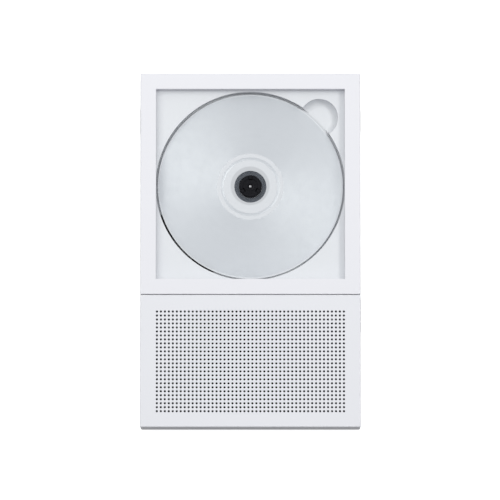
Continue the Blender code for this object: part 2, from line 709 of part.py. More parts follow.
# ---------------------------------------------------------------- mechanism
def make_chassis(material, mechanism):
    """Plate that hangs on the dampers and carries the motors, the rods and the lead screw."""
    shape = box((-CHASSIS_BACK, -CHASSIS_HALF, CHASSIS_Z), (CHASSIS_FRONT, CHASSIS_HALF, CHASSIS_TOP_Z))
    round_edges(shape, upright, CORNER_ROUND * 3)
    chassis = place("mechanism_chassis", shape, material, mechanism)
    ear = box(
        (CHASSIS_FRONT - CORNER_ROUND, -EAR_HALF, CHASSIS_Z + GAP / 3),
        (CHASSIS_FRONT + EAR_LENGTH, EAR_HALF, CHASSIS_TOP_Z - GAP / 3),
    )
    lugs = []
    for start in (LUG_START, CHASSIS_FRONT - LUG_LENGTH):
        for v in (-ROD_V, ROD_V):
            low = (start, v - LUG_HALF, CHASSIS_Z - LUG_HEIGHT)
            lugs.append(box(low, (start + LUG_LENGTH, v + LUG_HALF, CHASSIS_Z + CHASSIS / 2)))
    bearing_start = CHASSIS_FRONT - 2 * LUG_LENGTH
    lugs.append(
        box(
            (bearing_start, LEAD_SCREW_V - LUG_HALF * 0.75, LEAD_SCREW_Z - LUG_HALF * 0.75),
            (bearing_start + LUG_LENGTH * 0.9, LEAD_SCREW_V + LUG_HALF * 0.75, CHASSIS_Z + CHASSIS / 2),
        )
    )
    join(chassis, ear, *lugs, parent=mechanism)
    window = box(
        (PICKUP_WINDOW_START, -PICKUP_WINDOW_HALF, CHASSIS_Z - CHASSIS),
        (CHASSIS_FRONT - LUG_LENGTH - GAP, PICKUP_WINDOW_HALF, CHASSIS_TOP_Z + CHASSIS),
    )
    holes = [cylinder((0, 0), 4 * SHAFT_RADIUS, CHASSIS_Z - CHASSIS, CHASSIS_TOP_Z + CHASSIS, 20)]
    for p in DAMPER_PLACES:
        holes.append(cylinder(p, DAMPER_WAIST + GAP, CHASSIS_Z - CHASSIS, CHASSIS_TOP_Z + CHASSIS, 12))
    cut(chassis, window, *holes, parent=mechanism)
    bores = []
    reach = CHASSIS_FRONT + CHASSIS_BACK
    for v in (-ROD_V, ROD_V):
        bore = cylinder((0, 0), ROD_RADIUS + GAP, 0, reach, 12)
        bores.append(lie_along_x(bore, (0, v, ROD_Z)))
    bore = cylinder((0, 0), LEAD_SCREW_RADIUS + GAP, 0, reach, 12)
    bores.append(lie_along_x(bore, (0, LEAD_SCREW_V, LEAD_SCREW_Z)))
    cut(chassis, *bores, parent=mechanism)


def make_guide_rods(material, mechanism):
    for name, v in (("guide_rod_a", -ROD_V), ("guide_rod_b", ROD_V)):
        length = CHASSIS_FRONT - LUG_START - 2 * GAP
        rod = lathe([(0, 0), (ROD_RADIUS, 0), (ROD_RADIUS, length), (0, length)], 12)
        start = (LUG_START + GAP, v, ROD_Z)
        lie_along_x(rod, start)
        place(name, rod, material, mechanism, origin=start)


def make_sled(material, mechanism):
    """Pickup sled, bored for one rod and forked over the other, with its nut on the lead screw."""
    top = CHASSIS_Z - GAP
    low = top - SLED_HEIGHT
    near, far = LENS_U - SLED_HALF_U, LENS_U + SLED_HALF_U
    shape = box((near, -SLED_HALF_V, low), (far, SLED_HALF_V, top))
    round_edges(shape, upright, CORNER_ROUND)
    origin = (LENS_U, 0, ROD_Z)
    sled = place("pickup_sled", shape, material, mechanism, origin=origin)
    tower = centred_box((LENS_U, 0, 0), (1.6 * SLED_HALF_U, 2 * TOWER_HALF, 2 * (CHASSIS_TOP_Z - top)))
    bmesh.ops.translate(tower, vec=(0, 0, top), verts=tower.verts)
    nut = box(
        (LENS_U - NUT_HALF_U, SLED_HALF_V - WALL, LEAD_SCREW_Z - NUT_HALF_Z - GAP),
        (LENS_U + NUT_HALF_U, LEAD_SCREW_V + NUT_REACH, LEAD_SCREW_Z + NUT_HALF_Z + GAP),
    )
    join(sled, tower, nut, parent=mechanism)
    reach = 4 * SLED_HALF_U
    tools = []
    rod = cylinder((0, 0), ROD_RADIUS + GAP, 0, reach, 12)
    tools.append(lie_along_x(rod, (LENS_U - reach / 2, ROD_V, ROD_Z)))
    screw = cylinder((0, 0), LEAD_SCREW_RADIUS + GAP, 0, reach, 12)
    tools.append(lie_along_x(screw, (LENS_U - reach / 2, LEAD_SCREW_V, LEAD_SCREW_Z)))
    fork = ROD_RADIUS + GAP
    tools.append(
        box((near - reach, -2 * SLED_HALF_V, ROD_Z - fork), (far + reach, -ROD_V + fork, ROD_Z + fork))
    )
    cut(sled, *tools, parent=mechanism)


def make_lens(holder_material, lens_material, mechanism):
    low = CHASSIS_TOP_Z + LENS_STROKE + GAP
    size = Vector(LENS_HOLDER)
    centre = Vector((LENS_U, 0, low + size.z / 2))
    shape = centred_box(centre, size)
    round_edges(shape, upright, CORNER_ROUND)
    holder = place("lens_holder", shape, holder_material, mechanism, origin=centre)
    hole = cylinder((LENS_U, 0), LENS_RADIUS + GAP, low - CHASSIS, low + 2 * size.z, 24)
    cut(holder, hole, parent=mechanism)
    foot = low + size.z / 2
    edge = foot + LENS_HEIGHT / 2
    rise = LENS_HEIGHT / 2
    dome = [(LENS_RADIUS * cos(radians(a)), edge + rise * sin(radians(a))) for a in (25, 50, 70)]
    profile = [(0, foot), (LENS_RADIUS, foot), (LENS_RADIUS, edge), *dome, (0, edge + LENS_HEIGHT / 2)]
    lens = lathe(profile, 20, (LENS_U, 0))
    place("objective_lens", lens, lens_material, mechanism, origin=(LENS_U, 0, foot))


def make_sled_drive(motor_material, screw_material, mechanism):
    radius, length = SLED_MOTOR_RADIUS, SLED_MOTOR_LENGTH
    bore = LEAD_SCREW_RADIUS + GAP
    depth = length / 4
    profile = [
        (0, 0),
        (radius * 0.85, 0),
        (radius, GAP * 2),
        (radius, length - GAP * 2),
        (radius * 0.85, length),
        (bore, length),
        (bore, length - depth),
        (0, length - depth),
    ]
    start = (SLED_MOTOR_FRONT - length, LEAD_SCREW_V, LEAD_SCREW_Z)
    place("sled_motor", lie_along_x(lathe(profile, 16), start), motor_material, mechanism, origin=start)
    begin = SLED_MOTOR_FRONT - depth + GAP
    end = CHASSIS_FRONT - LUG_LENGTH - GAP
    screw = lathe([(0, 0), (LEAD_SCREW_RADIUS, 0), (LEAD_SCREW_RADIUS, end - begin), (0, end - begin)], 12)
    start = (begin, LEAD_SCREW_V, LEAD_SCREW_Z)
    place("lead_screw", lie_along_x(screw, start), screw_material, mechanism, origin=start)


def make_dampers(rubber, steel, mechanism):
    low = CHASSIS_Z - GAP - DAMPER_FOOT
    waist_low, waist_high = CHASSIS_Z - GAP, CHASSIS_TOP_Z + GAP
    high = waist_high + DAMPER_CAP
    for i, p in enumerate(DAMPER_PLACES, 1):
        profile = [
            (DAMPER_BORE, low),
            (DAMPER_RADIUS, low),
            (DAMPER_RADIUS, waist_low),
            (DAMPER_WAIST, waist_low),
            (DAMPER_WAIST, waist_high),
            (DAMPER_RADIUS, waist_high),
            (DAMPER_RADIUS, high),
            (DAMPER_BORE, high),
        ]
        place(f"damper_{i}", lathe(profile, 12, p), rubber, mechanism)
        shank = DAMPER_SCREW_RADIUS
        head, thick = DAMPER_SCREW_HEAD
        tip = SHELL_FLOOR_Z + FLOOR
        seat = high + GAP
        profile = [(0, tip - shank / 2), (shank, tip), (shank, seat), (head, seat), (head, seat + thick)]
        profile.append((0, seat + thick))
        place(f"damper_screw_{i}", lathe(profile, 12, p), steel, mechanism)


# ---------------------------------------------------------------- speakers
def make_speaker(side, x, materials):
    """One driver: basket and magnet stay, the cone with its coil former moves along Z."""
    centre = (x, PANEL_Y)
    top, foot = SPEAKER_TOP_Z, BASKET_FOOT_Z
    rim = SPEAKER_RADIUS - SPEAKER_RIM
    thick = SPEAKER_FLANGE
    profile = [
        (BASKET_HOLE, foot),
        (BASKET_FOOT_RADIUS, foot),
        (rim + thick / 2, top - thick),
        (SPEAKER_RADIUS, top - thick),
        (SPEAKER_RADIUS, top),
        (rim, top),
        (rim, top - thick),
        (BASKET_FOOT_RADIUS - thick / 2, foot + thick),
        (BASKET_HOLE, foot + thick),
    ]
    place(f"speaker_basket_{side}", lathe(profile, 20, centre), materials["steel"])
    high = MAGNET_TOP_Z
    low = high - MAGNET_HEIGHT
    radius, waist = MAGNET_RADIUS, MAGNET_RADIUS - 2 * CONE_TRAVEL
    profile = [
        (0, low),
        (radius, low),
        (radius, low + thick),
        (waist, low + thick),
        (waist, high - thick),
        (radius, high - thick),
        (radius, high),
        (0, high),
    ]
    place(f"speaker_magnet_{side}", lathe(profile, 16, centre), materials["magnet"])
    edge = rim - CONE_TRAVEL - GAP
    coil = BASKET_HOLE - 2 * thick
    sheet = thick / 2
    coil_low = foot + CONE_TRAVEL
    throat = coil_low + 2.4 * thick
    roll = 2 * thick
    profile = [
        (0, throat + 2 * thick),
        (coil * 0.7, throat + 1.6 * thick),
        (coil, throat + sheet),
        (edge - 1.2 * roll, top - thick),
        (edge - 0.9 * roll, top - sheet * 0.3),
        (edge - 0.4 * roll, top),
        (edge, top - sheet * 0.5),
        (edge, top - sheet * 1.3),
        (edge - 0.9 * roll, top - thick - sheet * 0.7),
        (edge - 1.1 * roll, top - thick - sheet * 1.4),
        (coil, throat - sheet),
        (coil, coil_low),
        (coil - sheet, coil_low),
        (coil - sheet, throat),
        (coil * 0.66, throat + 1.1 * thick),
        (0, throat + 2 * thick - sheet),
    ]
    place(f"speaker_cone_{side}", lathe(profile, 18, centre), materials["paper"])


def make_dust_cloth(material):
    width = 2 * (HALF_WIDTH - WALL - CLOTH_ROOM[0])
    length = PANEL_LENGTH - 2 * (WALL + CLOTH_ROOM[1])
    thick = CLOTH_THICKNESS
    high = UNDER_FACE_Z - GAP
    cloth = box((-width / 2, PANEL_Y - length / 2, high - thick), (width / 2, PANEL_Y + length / 2, high))
    place("dust_cloth", cloth, material)


# ---------------------------------------------------------------- electronics
def usb_centre():
    x = PORT_SINK + USB_SIZE[0] / 2 - HALF_WIDTH
    return Vector((x, PANEL_Y + USB_FROM_PANEL, BOARD_TOP_Z + GAP + USB_SIZE[2] / 2))


def jack_centre():
    """Centre of the headphone socket's body, behind the wall."""
    x = JACK_SIZE[0] / 2 + GAP + WALL - HALF_WIDTH
    return Vector((x, PANEL_Y + JACK_FROM_PANEL, BOARD_TOP_Z + GAP + JACK_SIZE[2] / 2))


def make_main_board(material):
    """Board under the speakers, with its larger parts soldered on."""
    left = WALL + BOARD_SIDE_ROOM - HALF_WIDTH
    low_y = BOARD_END_ROOM - HALF_LENGTH
    high_y = PANEL_HIGH_Y - BOARD_END_ROOM
    board = place("main_board", box((left, low_y, BOARD_Z), (BOARD_RIGHT, high_y, BOARD_TOP_Z)), material)
    parts = []
    under = BOARD_TOP_Z - BOARD_THICKNESS / 4
    for x, y, wide, deep, tall in BOARD_CHIPS:
        half = Vector((wide / 2, deep / 2, 0))
        centre = Vector((x, PANEL_Y + y, 0))
        low = centre - half + Vector((0, 0, under))
        parts.append(box(low, centre + half + Vector((0, 0, BOARD_TOP_Z + tall))))
    for x in CAPACITOR_X:
        top = BOARD_TOP_Z + CAPACITOR_HEIGHT
        parts.append(cylinder((x, PANEL_Y), CAPACITOR_RADIUS, under, top, 16))
    join(board, *parts)


def make_usb_socket(material):
    centre = usb_centre()
    shape = centred_box(centre, USB_SIZE)
    flat = USB_SIZE[2] * 0.42
    long_edges = along_x_axis(USB_SIZE[0] / 2)
    round_edges(shape, long_edges, flat, 3)
    socket = place("usb_socket", shape, material)
    inner = Vector(USB_SIZE) - Vector((0, 2 * USB_SHELL, 2 * USB_SHELL))
    cavity = centred_box(centre - Vector((2 * USB_SHELL, 0, 0)), inner)
    round_edges(cavity, long_edges, flat - USB_SHELL, 3)
    cut(socket, cavity)
    tongue = Vector(USB_TONGUE)
    back = centre.x + USB_SIZE[0] / 2 - USB_SHELL
    join(socket, centred_box((back - tongue.x / 2, centre.y, centre.z), tongue))


def make_headphone_socket(material):
    centre = jack_centre()
    socket = place("headphone_socket", centred_box(centre, JACK_SIZE), material)
    face = centre.x - JACK_SIZE[0] / 2
    nose = cylinder((0, 0), JACK_NOSE_RADIUS, 0, WALL + GAP - PORT_SINK + WALL, 20)
    join(socket, lie_along_x(nose, (PORT_SINK - HALF_WIDTH, centre.y, centre.z)))
    bore = cylinder((0, 0), JACK_BORE_RADIUS, 0, JACK_SIZE[0] * 0.9, 16)
    cut(socket, lie_along_x(bore, (face - 2 * WALL, centre.y, centre.z)))


def make_battery(material):
    low_z = SHELL_FLOOR_Z + GAP
    high_y = HALF_LENGTH - WALL - 2 * SCREW_INSET + WALL
    half = BATTERY[0] / 2
    low = (BATTERY_X - half, high_y - BATTERY[1], low_z)
    shape = box(low, (BATTERY_X + half, high_y, low_z + BATTERY[2]))
    round_edges(shape, lambda edge: True, BATTERY_ROUND)
    place("battery_pack", shape, material)


# ---------------------------------------------------------------- controls
def key_places():
    return [KEY_ROW_Y + step * KEY_PITCH for step in (-1, 0, 1)]


def make_power_slider(material):
    outside, inside = HALF_WIDTH + CONTROL_PROUD, HALF_WIDTH - SLIDER_POCKET + GAP
    half = Vector((0, SLIDER_LENGTH / 2, CONTROL_TALL / 2))
    centre = Vector((0, SIDE_Y, CONTROL_HEIGHT))
    shape = box(centre - half + Vector((inside, 0, 0)), centre + half + Vector((outside, 0, 0)))
    round_edges(shape, along_side(outside), EDGE_ROUND / 2)
    slider = place("power_slider", shape, material)
    neck = Vector(SLIDER_NECK)
    join(slider, centred_box(centre + Vector((inside - neck.x / 2 + GAP, 0, 0)), neck))


def along_side(x):
    """A test for edges that lie at this x."""
    return lambda edge: all(abs(vert.co.x - x) < 1e-6 for vert in edge.verts)


def make_power_switch(material):
    size = Vector(SWITCH_SIZE)
    neck_end = HALF_WIDTH - SLIDER_POCKET + 2 * GAP - SLIDER_NECK[0]
    high = Vector((neck_end - GAP, SIDE_Y + size.y / 2, SHELL_FLOOR_Z + GAP + size.z))
    place("power_switch", box(high - size, high), material)


def make_keys(material):
    """Three push keys side by side, kept in by their flanges."""
    outside = HALF_WIDTH + CONTROL_PROUD
    inside = outside - KEY_DEPTH
    flange_top = inside + KEY_FLANGE[0]
    for name, y in zip(("key_forward", "key_play", "key_back"), key_places()):
        half = Vector((0, KEY_LENGTH / 2, CONTROL_TALL / 2))
        centre = Vector((0, y, CONTROL_HEIGHT))
        shape = box(centre - half + Vector((inside, 0, 0)), centre + half + Vector((outside, 0, 0)))
        round_edges(shape, along_side(outside), EDGE_ROUND / 2)
        key = place(name, shape, material)
        half = Vector((0, KEY_LENGTH / 2 - GAP / 3, KEY_FLANGE[1] / 2))
        low = centre - half + Vector((inside + GAP / 3, 0, 0))
        join(key, box(low, centre + half + Vector((flange_top, 0, 0))))


def make_key_board(material):
    thick, wide, tall = KEY_BOARD
    back_of_keys = HALF_WIDTH + CONTROL_PROUD - KEY_DEPTH
    tact_face = back_of_keys - KEY_TRAVEL - GAP
    face = tact_face - TACT_SIZE[0]
    low = (face - thick, KEY_ROW_Y - wide / 2, SHELL_FLOOR_Z + GAP)
    board = place("key_board", box(low, (face, KEY_ROW_Y + wide / 2, low[2] + tall)), material)
    size = Vector(TACT_SIZE)
    tacts = []
    for y in key_places():
        centre = Vector((tact_face - size.x / 2 - thick / 8, y, CONTROL_HEIGHT))
        tacts.append(centred_box(centre, size + Vector((thick / 4, 0, 0))))
    join(board, *tacts)


def rocker_pivot():
    return Vector((WALL - HALF_WIDTH, SIDE_Y, CONTROL_HEIGHT))


def make_volume_rocker(material):
    """Rocker that tilts about a vertical axis in the middle of the wall's inner face."""
    outside = -HALF_WIDTH - CONTROL_PROUD
    inside = outside + ROCKER_DEPTH
    half = Vector((0, ROCKER_LENGTH / 2, CONTROL_TALL / 2))
    pivot = rocker_pivot()
    centre = Vector((0, pivot.y, pivot.z))
    shape = box(centre - half + Vector((outside, 0, 0)), centre + half + Vector((inside, 0, 0)))
    round_edges(shape, along_side(outside), EDGE_ROUND / 2)
    rocker = place("volume_rocker", shape, material, origin=pivot)
    thick = KEY_FLANGE[0]
    flange = Vector((thick / 2, ROCKER_LENGTH / 5, KEY_FLANGE[1] / 2))
    centre.x = WALL + GAP + thick / 2 - HALF_WIDTH
    join(rocker, box(centre - flange, centre + flange))


def make_volume_switch(material):
    size = Vector(SWITCH_SIZE)
    face = WALL + GAP + KEY_FLANGE[0] + 2 * ROCKER_SWING_ROOM - HALF_WIDTH
    low = Vector((face, SIDE_Y - size.y / 2, SHELL_FLOOR_Z + GAP))
    place("volume_switch", box(low, low + size), material)


# ---------------------------------------------------------------- the whole player
def clear_scene():
    for item in list(bpy.data.objects):
        bpy.data.objects.remove(item, do_unlink=True)


def add_empty(name, location, turn=0.0):
    empty = bpy.data.objects.new(name, None)
    empty.location = location
    empty.rotation_euler = (0.0, 0.0, turn)
    bpy.context.scene.collection.objects.link(empty)
    return empty


def build():
    clear_scene()
    white = principled("white_plastic", (0.82, 0.83, 0.86), 0.5)
    deck = principled("deck_plastic", (0.78, 0.80, 0.83), 0.5)
    shell = principled("shell_plastic", (0.80, 0.81, 0.84), 0.55)
    black = principled("black_plastic", (0.02, 0.02, 0.022), 0.45)
    grey = principled("grey_plastic", (0.25, 0.26, 0.28), 0.5)
    rubber = principled("rubber", (0.05, 0.05, 0.055), 0.85)
    silver = principled("disc_silver", (0.72, 0.75, 0.79), 0.25, metallic=0.6)
    steel = principled("steel", (0.62, 0.63, 0.65), 0.3, metallic=1.0)
    magnet = principled("ferrite", (0.08, 0.08, 0.09), 0.6, metallic=0.3)
    paper = principled("cone_paper", (0.04, 0.04, 0.045), 0.9)
    glass = principled("lens_glass", (0.75, 0.85, 0.95), 0.05, transmission=0.9)
    green = principled("circuit_board", (0.03, 0.16, 0.08), 0.5)
    cell = principled("battery_wrap", (0.10, 0.16, 0.30), 0.4)
    cloth = principled("dust_cloth", (0.015, 0.015, 0.017), 0.95)

    mechanism = add_empty("mechanism", (0.0, DISC_Y, 0.0), MECHANISM_ANGLE)
    spindle = add_empty("spindle_axis", (0.0, DISC_Y, 0.0))

    make_rear_shell(shell)
    make_disc_frame(white)
    make_speaker_panel(white)
    make_well_plate(deck)
    make_feet(rubber)
    make_case_screws(steel)

    make_disc(silver, spindle)
    make_turntable(black, spindle)
    make_turntable_pad(rubber, spindle)
    make_hub_cap(black, spindle)
    make_claws(black, spindle)
    make_spindle(steel, steel, spindle)

    make_chassis(black, mechanism)
    make_guide_rods(steel, mechanism)
    make_sled(grey, mechanism)
    make_lens(black, glass, mechanism)
    make_sled_drive(steel, steel, mechanism)
    make_dampers(rubber, steel, mechanism)

    materials = {"steel": steel, "magnet": magnet, "paper": paper}
    make_speaker("left", -SPEAKER_X, materials)
    make_speaker("right", SPEAKER_X, materials)
    make_dust_cloth(cloth)

    make_main_board(green)
    make_usb_socket(steel)
    make_headphone_socket(black)
    make_battery(cell)

    make_power_slider(white)
    make_power_switch(black)
    make_keys(white)
    make_key_board(green)
    make_volume_rocker(white)
    make_volume_switch(black)


build()
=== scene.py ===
"""Looks for a top-loading disc player with a perforated speaker panel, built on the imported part.

Every size is in metres. The sections follow the player as it is put together, from the rear shell to the
disc, and end with the table it lies on, the lights and the camera.
"""

from math import copysign, cos, hypot, pi, radians, sin

import bmesh
import bpy
from mathutils import Matrix, Vector


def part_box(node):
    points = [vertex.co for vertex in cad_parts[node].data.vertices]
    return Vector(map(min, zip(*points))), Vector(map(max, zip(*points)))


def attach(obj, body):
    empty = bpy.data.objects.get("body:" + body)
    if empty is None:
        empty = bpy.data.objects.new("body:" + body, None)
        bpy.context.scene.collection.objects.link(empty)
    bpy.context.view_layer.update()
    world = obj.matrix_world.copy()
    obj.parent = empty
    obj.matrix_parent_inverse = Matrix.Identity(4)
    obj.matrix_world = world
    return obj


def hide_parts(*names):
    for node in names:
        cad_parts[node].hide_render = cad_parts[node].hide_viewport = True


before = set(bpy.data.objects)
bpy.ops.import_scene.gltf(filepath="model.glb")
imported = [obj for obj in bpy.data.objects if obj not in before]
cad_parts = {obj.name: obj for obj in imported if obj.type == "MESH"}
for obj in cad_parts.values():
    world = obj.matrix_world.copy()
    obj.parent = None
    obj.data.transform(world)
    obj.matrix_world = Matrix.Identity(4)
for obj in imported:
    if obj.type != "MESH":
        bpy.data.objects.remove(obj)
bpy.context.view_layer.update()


# ---------------------------------------------------------------- rear shell
# The rear shell is one injection moulding in matt white ABS, a tray that every other part is screwed to.
# Its skin is finely spark-eroded, its edges are polished a little by handling, and its corners and hollows
# hold a trace of dust with painted shade: an ambient occlusion mask greys them.
SHELL_WHITE = (0.815, 0.815, 0.838, 1.0)
SKIN_GRAIN = 0.00022
SKIN_GRAIN_DEPTH = 0.0000022
CLOUD_SIZE = 0.045
EDGE_SOFTNESS = 0.00018
EDGE_TURN = (0.999, 0.90)  # cosine of the turn at which an edge starts to count as worn, and counts fully
RUBBED_WHITE = (0.93, 0.93, 0.92, 1.0)
DUST_AND_SHADE_GREY = (0.30, 0.29, 0.27, 1.0)
DUST_AND_SHADE_REACH = 0.0012
DUST_AND_SHADE_OPENNESS = (0.72, 0.25)  # how open a corner is where dust starts, and where it lies thick


def node_in(tree, kind, settings=None, **inputs):
    """A node whose inputs are given by name, each with a value or the socket that feeds it."""
    made = tree.nodes.new("ShaderNode" + kind)
    for name, value in (settings or {}).items():
        setattr(made, name, value)
    for name, value in inputs.items():
        wanted = name.replace("_", " ")
        socket = next(s for s in made.inputs if s.name == wanted and s.enabled)
        if isinstance(value, bpy.types.NodeSocket):
            tree.links.new(value, socket)
        else:
            socket.default_value = value
    return made


def reckon(tree, operation, *terms):
    """A math node's result, from one or two numbers or sockets."""
    made = tree.nodes.new("ShaderNodeMath")
    made.operation = operation
    for socket, term in zip(made.inputs, terms):
        if isinstance(term, bpy.types.NodeSocket):
            tree.links.new(term, socket)
        else:
            socket.default_value = term
    return made.outputs[0]


def spread(tree, value, low, high, to_low=0.0, to_high=1.0):
    """A value moved smoothly from one range to another."""
    made = node_in(tree, "MapRange", {"interpolation_type": "SMOOTHSTEP"}, Value=value)
    for name, number in zip(("From Min", "From Max", "To Min", "To Max"), (low, high, to_low, to_high)):
        made.inputs[name].default_value = number
    return made.outputs["Result"]


def colour_mix(tree, share, first, second):
    """Two colours mixed by a share that may change over the surface."""
    made = tree.nodes.new("ShaderNodeMix")
    made.data_type = "RGBA"
    for socket, value in ((made.inputs[0], share), (made.inputs[6], first), (made.inputs[7], second)):
        if isinstance(value, bpy.types.NodeSocket):
            tree.links.new(value, socket)
        else:
            socket.default_value = value
    return made.outputs[2]


def toned(tree, colour, shade):
    """A colour made lighter or darker by a factor."""
    return node_in(tree, "HueSaturation", Color=colour, Value=shade).outputs["Color"]


def rough_bump(tree, result, roughness, height, depth, **others):
    """Sends a roughness, and a bump made from a height, to a group's outputs."""
    tree.links.new(roughness, result["Roughness"])
    bump = node_in(tree, "Bump", Height=height, Distance=depth, Strength=1.0, **others)
    tree.links.new(bump.outputs["Normal"], result["Normal"])


def surface_group(name, inputs, outputs):
    """An empty node group with named inputs, each with a start value, and named outputs."""
    group = bpy.data.node_groups.new(name, "ShaderNodeTree")
    kinds = {float: "NodeSocketFloat", tuple: "NodeSocketColor"}
    for label, value in inputs.items():
        socket = group.interface.new_socket(name=label, in_out="INPUT", socket_type=kinds[type(value)])
        socket.default_value = value
    for label, kind in outputs.items():
        group.interface.new_socket(name=label, in_out="OUTPUT", socket_type="NodeSocket" + kind)
    given = group.nodes.new("NodeGroupInput").outputs
    result = group.nodes.new("NodeGroupOutput").inputs
    return group, given, result


def make_moulded_skin():
    """Matt or glossy moulded plastic: a fine grain, a slow drift of shade and gloss, soft worn edges,
    and dust with painted shade greying its corners.
    """
    group, given, result = surface_group(
        "moulded_skin",
        {
            "Colour": SHELL_WHITE,
            "Grain Size": SKIN_GRAIN,
            "Grain Depth": SKIN_GRAIN_DEPTH,
            "Gloss": 0.42,
            "Drift": 0.02,
            "Edge Radius": EDGE_SOFTNESS,
            "Edge Wear": 0.12,
            "Dust And Shade": 0.10,
        },
        {"Colour": "Color", "Roughness": "Float", "Normal": "Vector"},
    )
    place = node_in(group, "TexCoord").outputs["Object"]
    fine = reckon(group, "DIVIDE", 1.0, given["Grain Size"])
    grain = node_in(group, "TexNoise", Vector=place, Scale=fine, Detail=3.0, Roughness=0.55).outputs["Fac"]
    cloud = node_in(group, "TexNoise", Vector=place, Scale=1 / CLOUD_SIZE, Detail=2.0).outputs["Fac"]
    soft = node_in(group, "Bevel", {"samples": 4}, Radius=given["Edge Radius"]).outputs["Normal"]
    facing = node_in(group, "NewGeometry").outputs["Normal"]
    agreement = node_in(group, "VectorMath", {"operation": "DOT_PRODUCT"})
    group.links.new(soft, agreement.inputs[0])
    group.links.new(facing, agreement.inputs[1])
    edge = spread(group, agreement.outputs["Value"], *EDGE_TURN)
    # An ambient occlusion mask greys corners and hollows: painted shade where the part is white, a pale dust
    # where it is dark.
    shut_in = node_in(group, "AmbientOcclusion", {"samples": 4, "only_local": False}, Distance=DUST_AND_SHADE_REACH)
    dust_and_shade = spread(group, shut_in.outputs["AO"], *DUST_AND_SHADE_OPENNESS)
    slow = reckon(group, "SUBTRACT", cloud, 0.5)
    drift = reckon(group, "MULTIPLY", slow, given["Drift"])
    fleck = reckon(group, "MULTIPLY", given["Drift"], 0.8)
    speck = reckon(group, "MULTIPLY", reckon(group, "SUBTRACT", grain, 0.5), fleck)
    shade = reckon(group, "ADD", 1.0, reckon(group, "ADD", drift, speck))
    base = toned(group, given["Colour"], shade)
    wear = reckon(group, "MULTIPLY", edge, given["Edge Wear"])
    worn = colour_mix(group, wear, base, RUBBED_WHITE)
    dusted_and_shaded = colour_mix(group, reckon(group, "MULTIPLY", dust_and_shade, given["Dust And Shade"]), worn, DUST_AND_SHADE_GREY)
    group.links.new(dusted_and_shaded, result["Colour"])
    shine = reckon(group, "ADD", given["Gloss"], reckon(group, "MULTIPLY", slow, 0.10))
    polished = reckon(group, "SUBTRACT", shine, wear)
    dulled = reckon(group, "ADD", polished, reckon(group, "MULTIPLY", dust_and_shade, 0.15))
    rough_bump(group, result, dulled, grain, given["Grain Depth"], Normal=soft)
    return group


moulded_skin = make_moulded_skin()


def finish_from(name, group, values, plain):
    """A material whose colour, roughness and normal come from a group. Plain numbers go on the shader."""
    material = bpy.data.materials.new(name)
    material.use_nodes = True
    tree = material.node_tree
    shader = tree.nodes["Principled BSDF"]
    source = tree.nodes.new("ShaderNodeGroup")
    source.node_tree = group
    for label, value in values.items():
        source.inputs[label].default_value = value
    for output, wanted in (("Colour", "Base Color"), ("Roughness", "Roughness"), ("Normal", "Normal")):
        tree.links.new(source.outputs[output], shader.inputs[wanted])
    for label, value in plain.items():
        shader.inputs[label].default_value = value
    return material


def moulded(name, colour, gloss, grain=SKIN_GRAIN, depth=SKIN_GRAIN_DEPTH, wear=0.12, dust_and_shade=0.10, drift=0.02):
    """A moulded plastic or rubber finish."""
    values = {
        "Colour": colour,
        "Gloss": gloss,
        "Grain Size": grain,
        "Grain Depth": depth,
        "Edge Wear": wear,
        "Dust And Shade": dust_and_shade,
        "Drift": drift,
    }
    return finish_from(name, moulded_skin, values, {"IOR": 1.53})


def dress(material, *names):
    """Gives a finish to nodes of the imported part."""
    for name in names:
        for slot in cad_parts[name].material_slots:
            slot.material = material


shell_finish = moulded("matt_white_shell", SHELL_WHITE, 0.48)
dress(shell_finish, "rear_shell")


# ---------------------------------------------------------------- feet
# Four round pads of soft grey rubber, pushed into shallow seats under the shell's corners.
# The rubber is dull, finely pitted and shows a pale bloom.
FOOT_GREY = (0.115, 0.118, 0.122, 1.0)
RUBBER_GRAIN = 0.00035
RUBBER_PITS = 0.000012

foot_finish = moulded("soft_rubber", FOOT_GREY, 0.78, RUBBER_GRAIN, RUBBER_PITS, 0.03, dust_and_shade=0.25, drift=0.25)
dress(foot_finish, *[f"foot_{i}" for i in range(1, 5)])


# ---------------------------------------------------------------- main board and key board
# Glass-fibre boards under a green solder mask, with copper tracks that show through it as slightly lighter
# lines. Chips and capacitors stand on them, soldered to tinned pads.
MASK_GREEN = (0.010, 0.095, 0.045, 1.0)
TRACK_GREEN = (0.025, 0.190, 0.075, 1.0)
CHIP_BLACK = (0.018, 0.018, 0.020, 1.0)
TIN = (0.62, 0.62, 0.60, 1.0)
TRACK_PITCH = 0.0011
TRACK_HEIGHT = 0.00003
GLASS_THREADS = 5200.0  # threads of the glass cloth in a metre
PAD_EDGE = (0.22, 0.17)
PART_EDGE = (0.00003, 0.00008)  # heights above the board between which the mask gives way to the parts
BOARD_THICKNESS = 0.0016


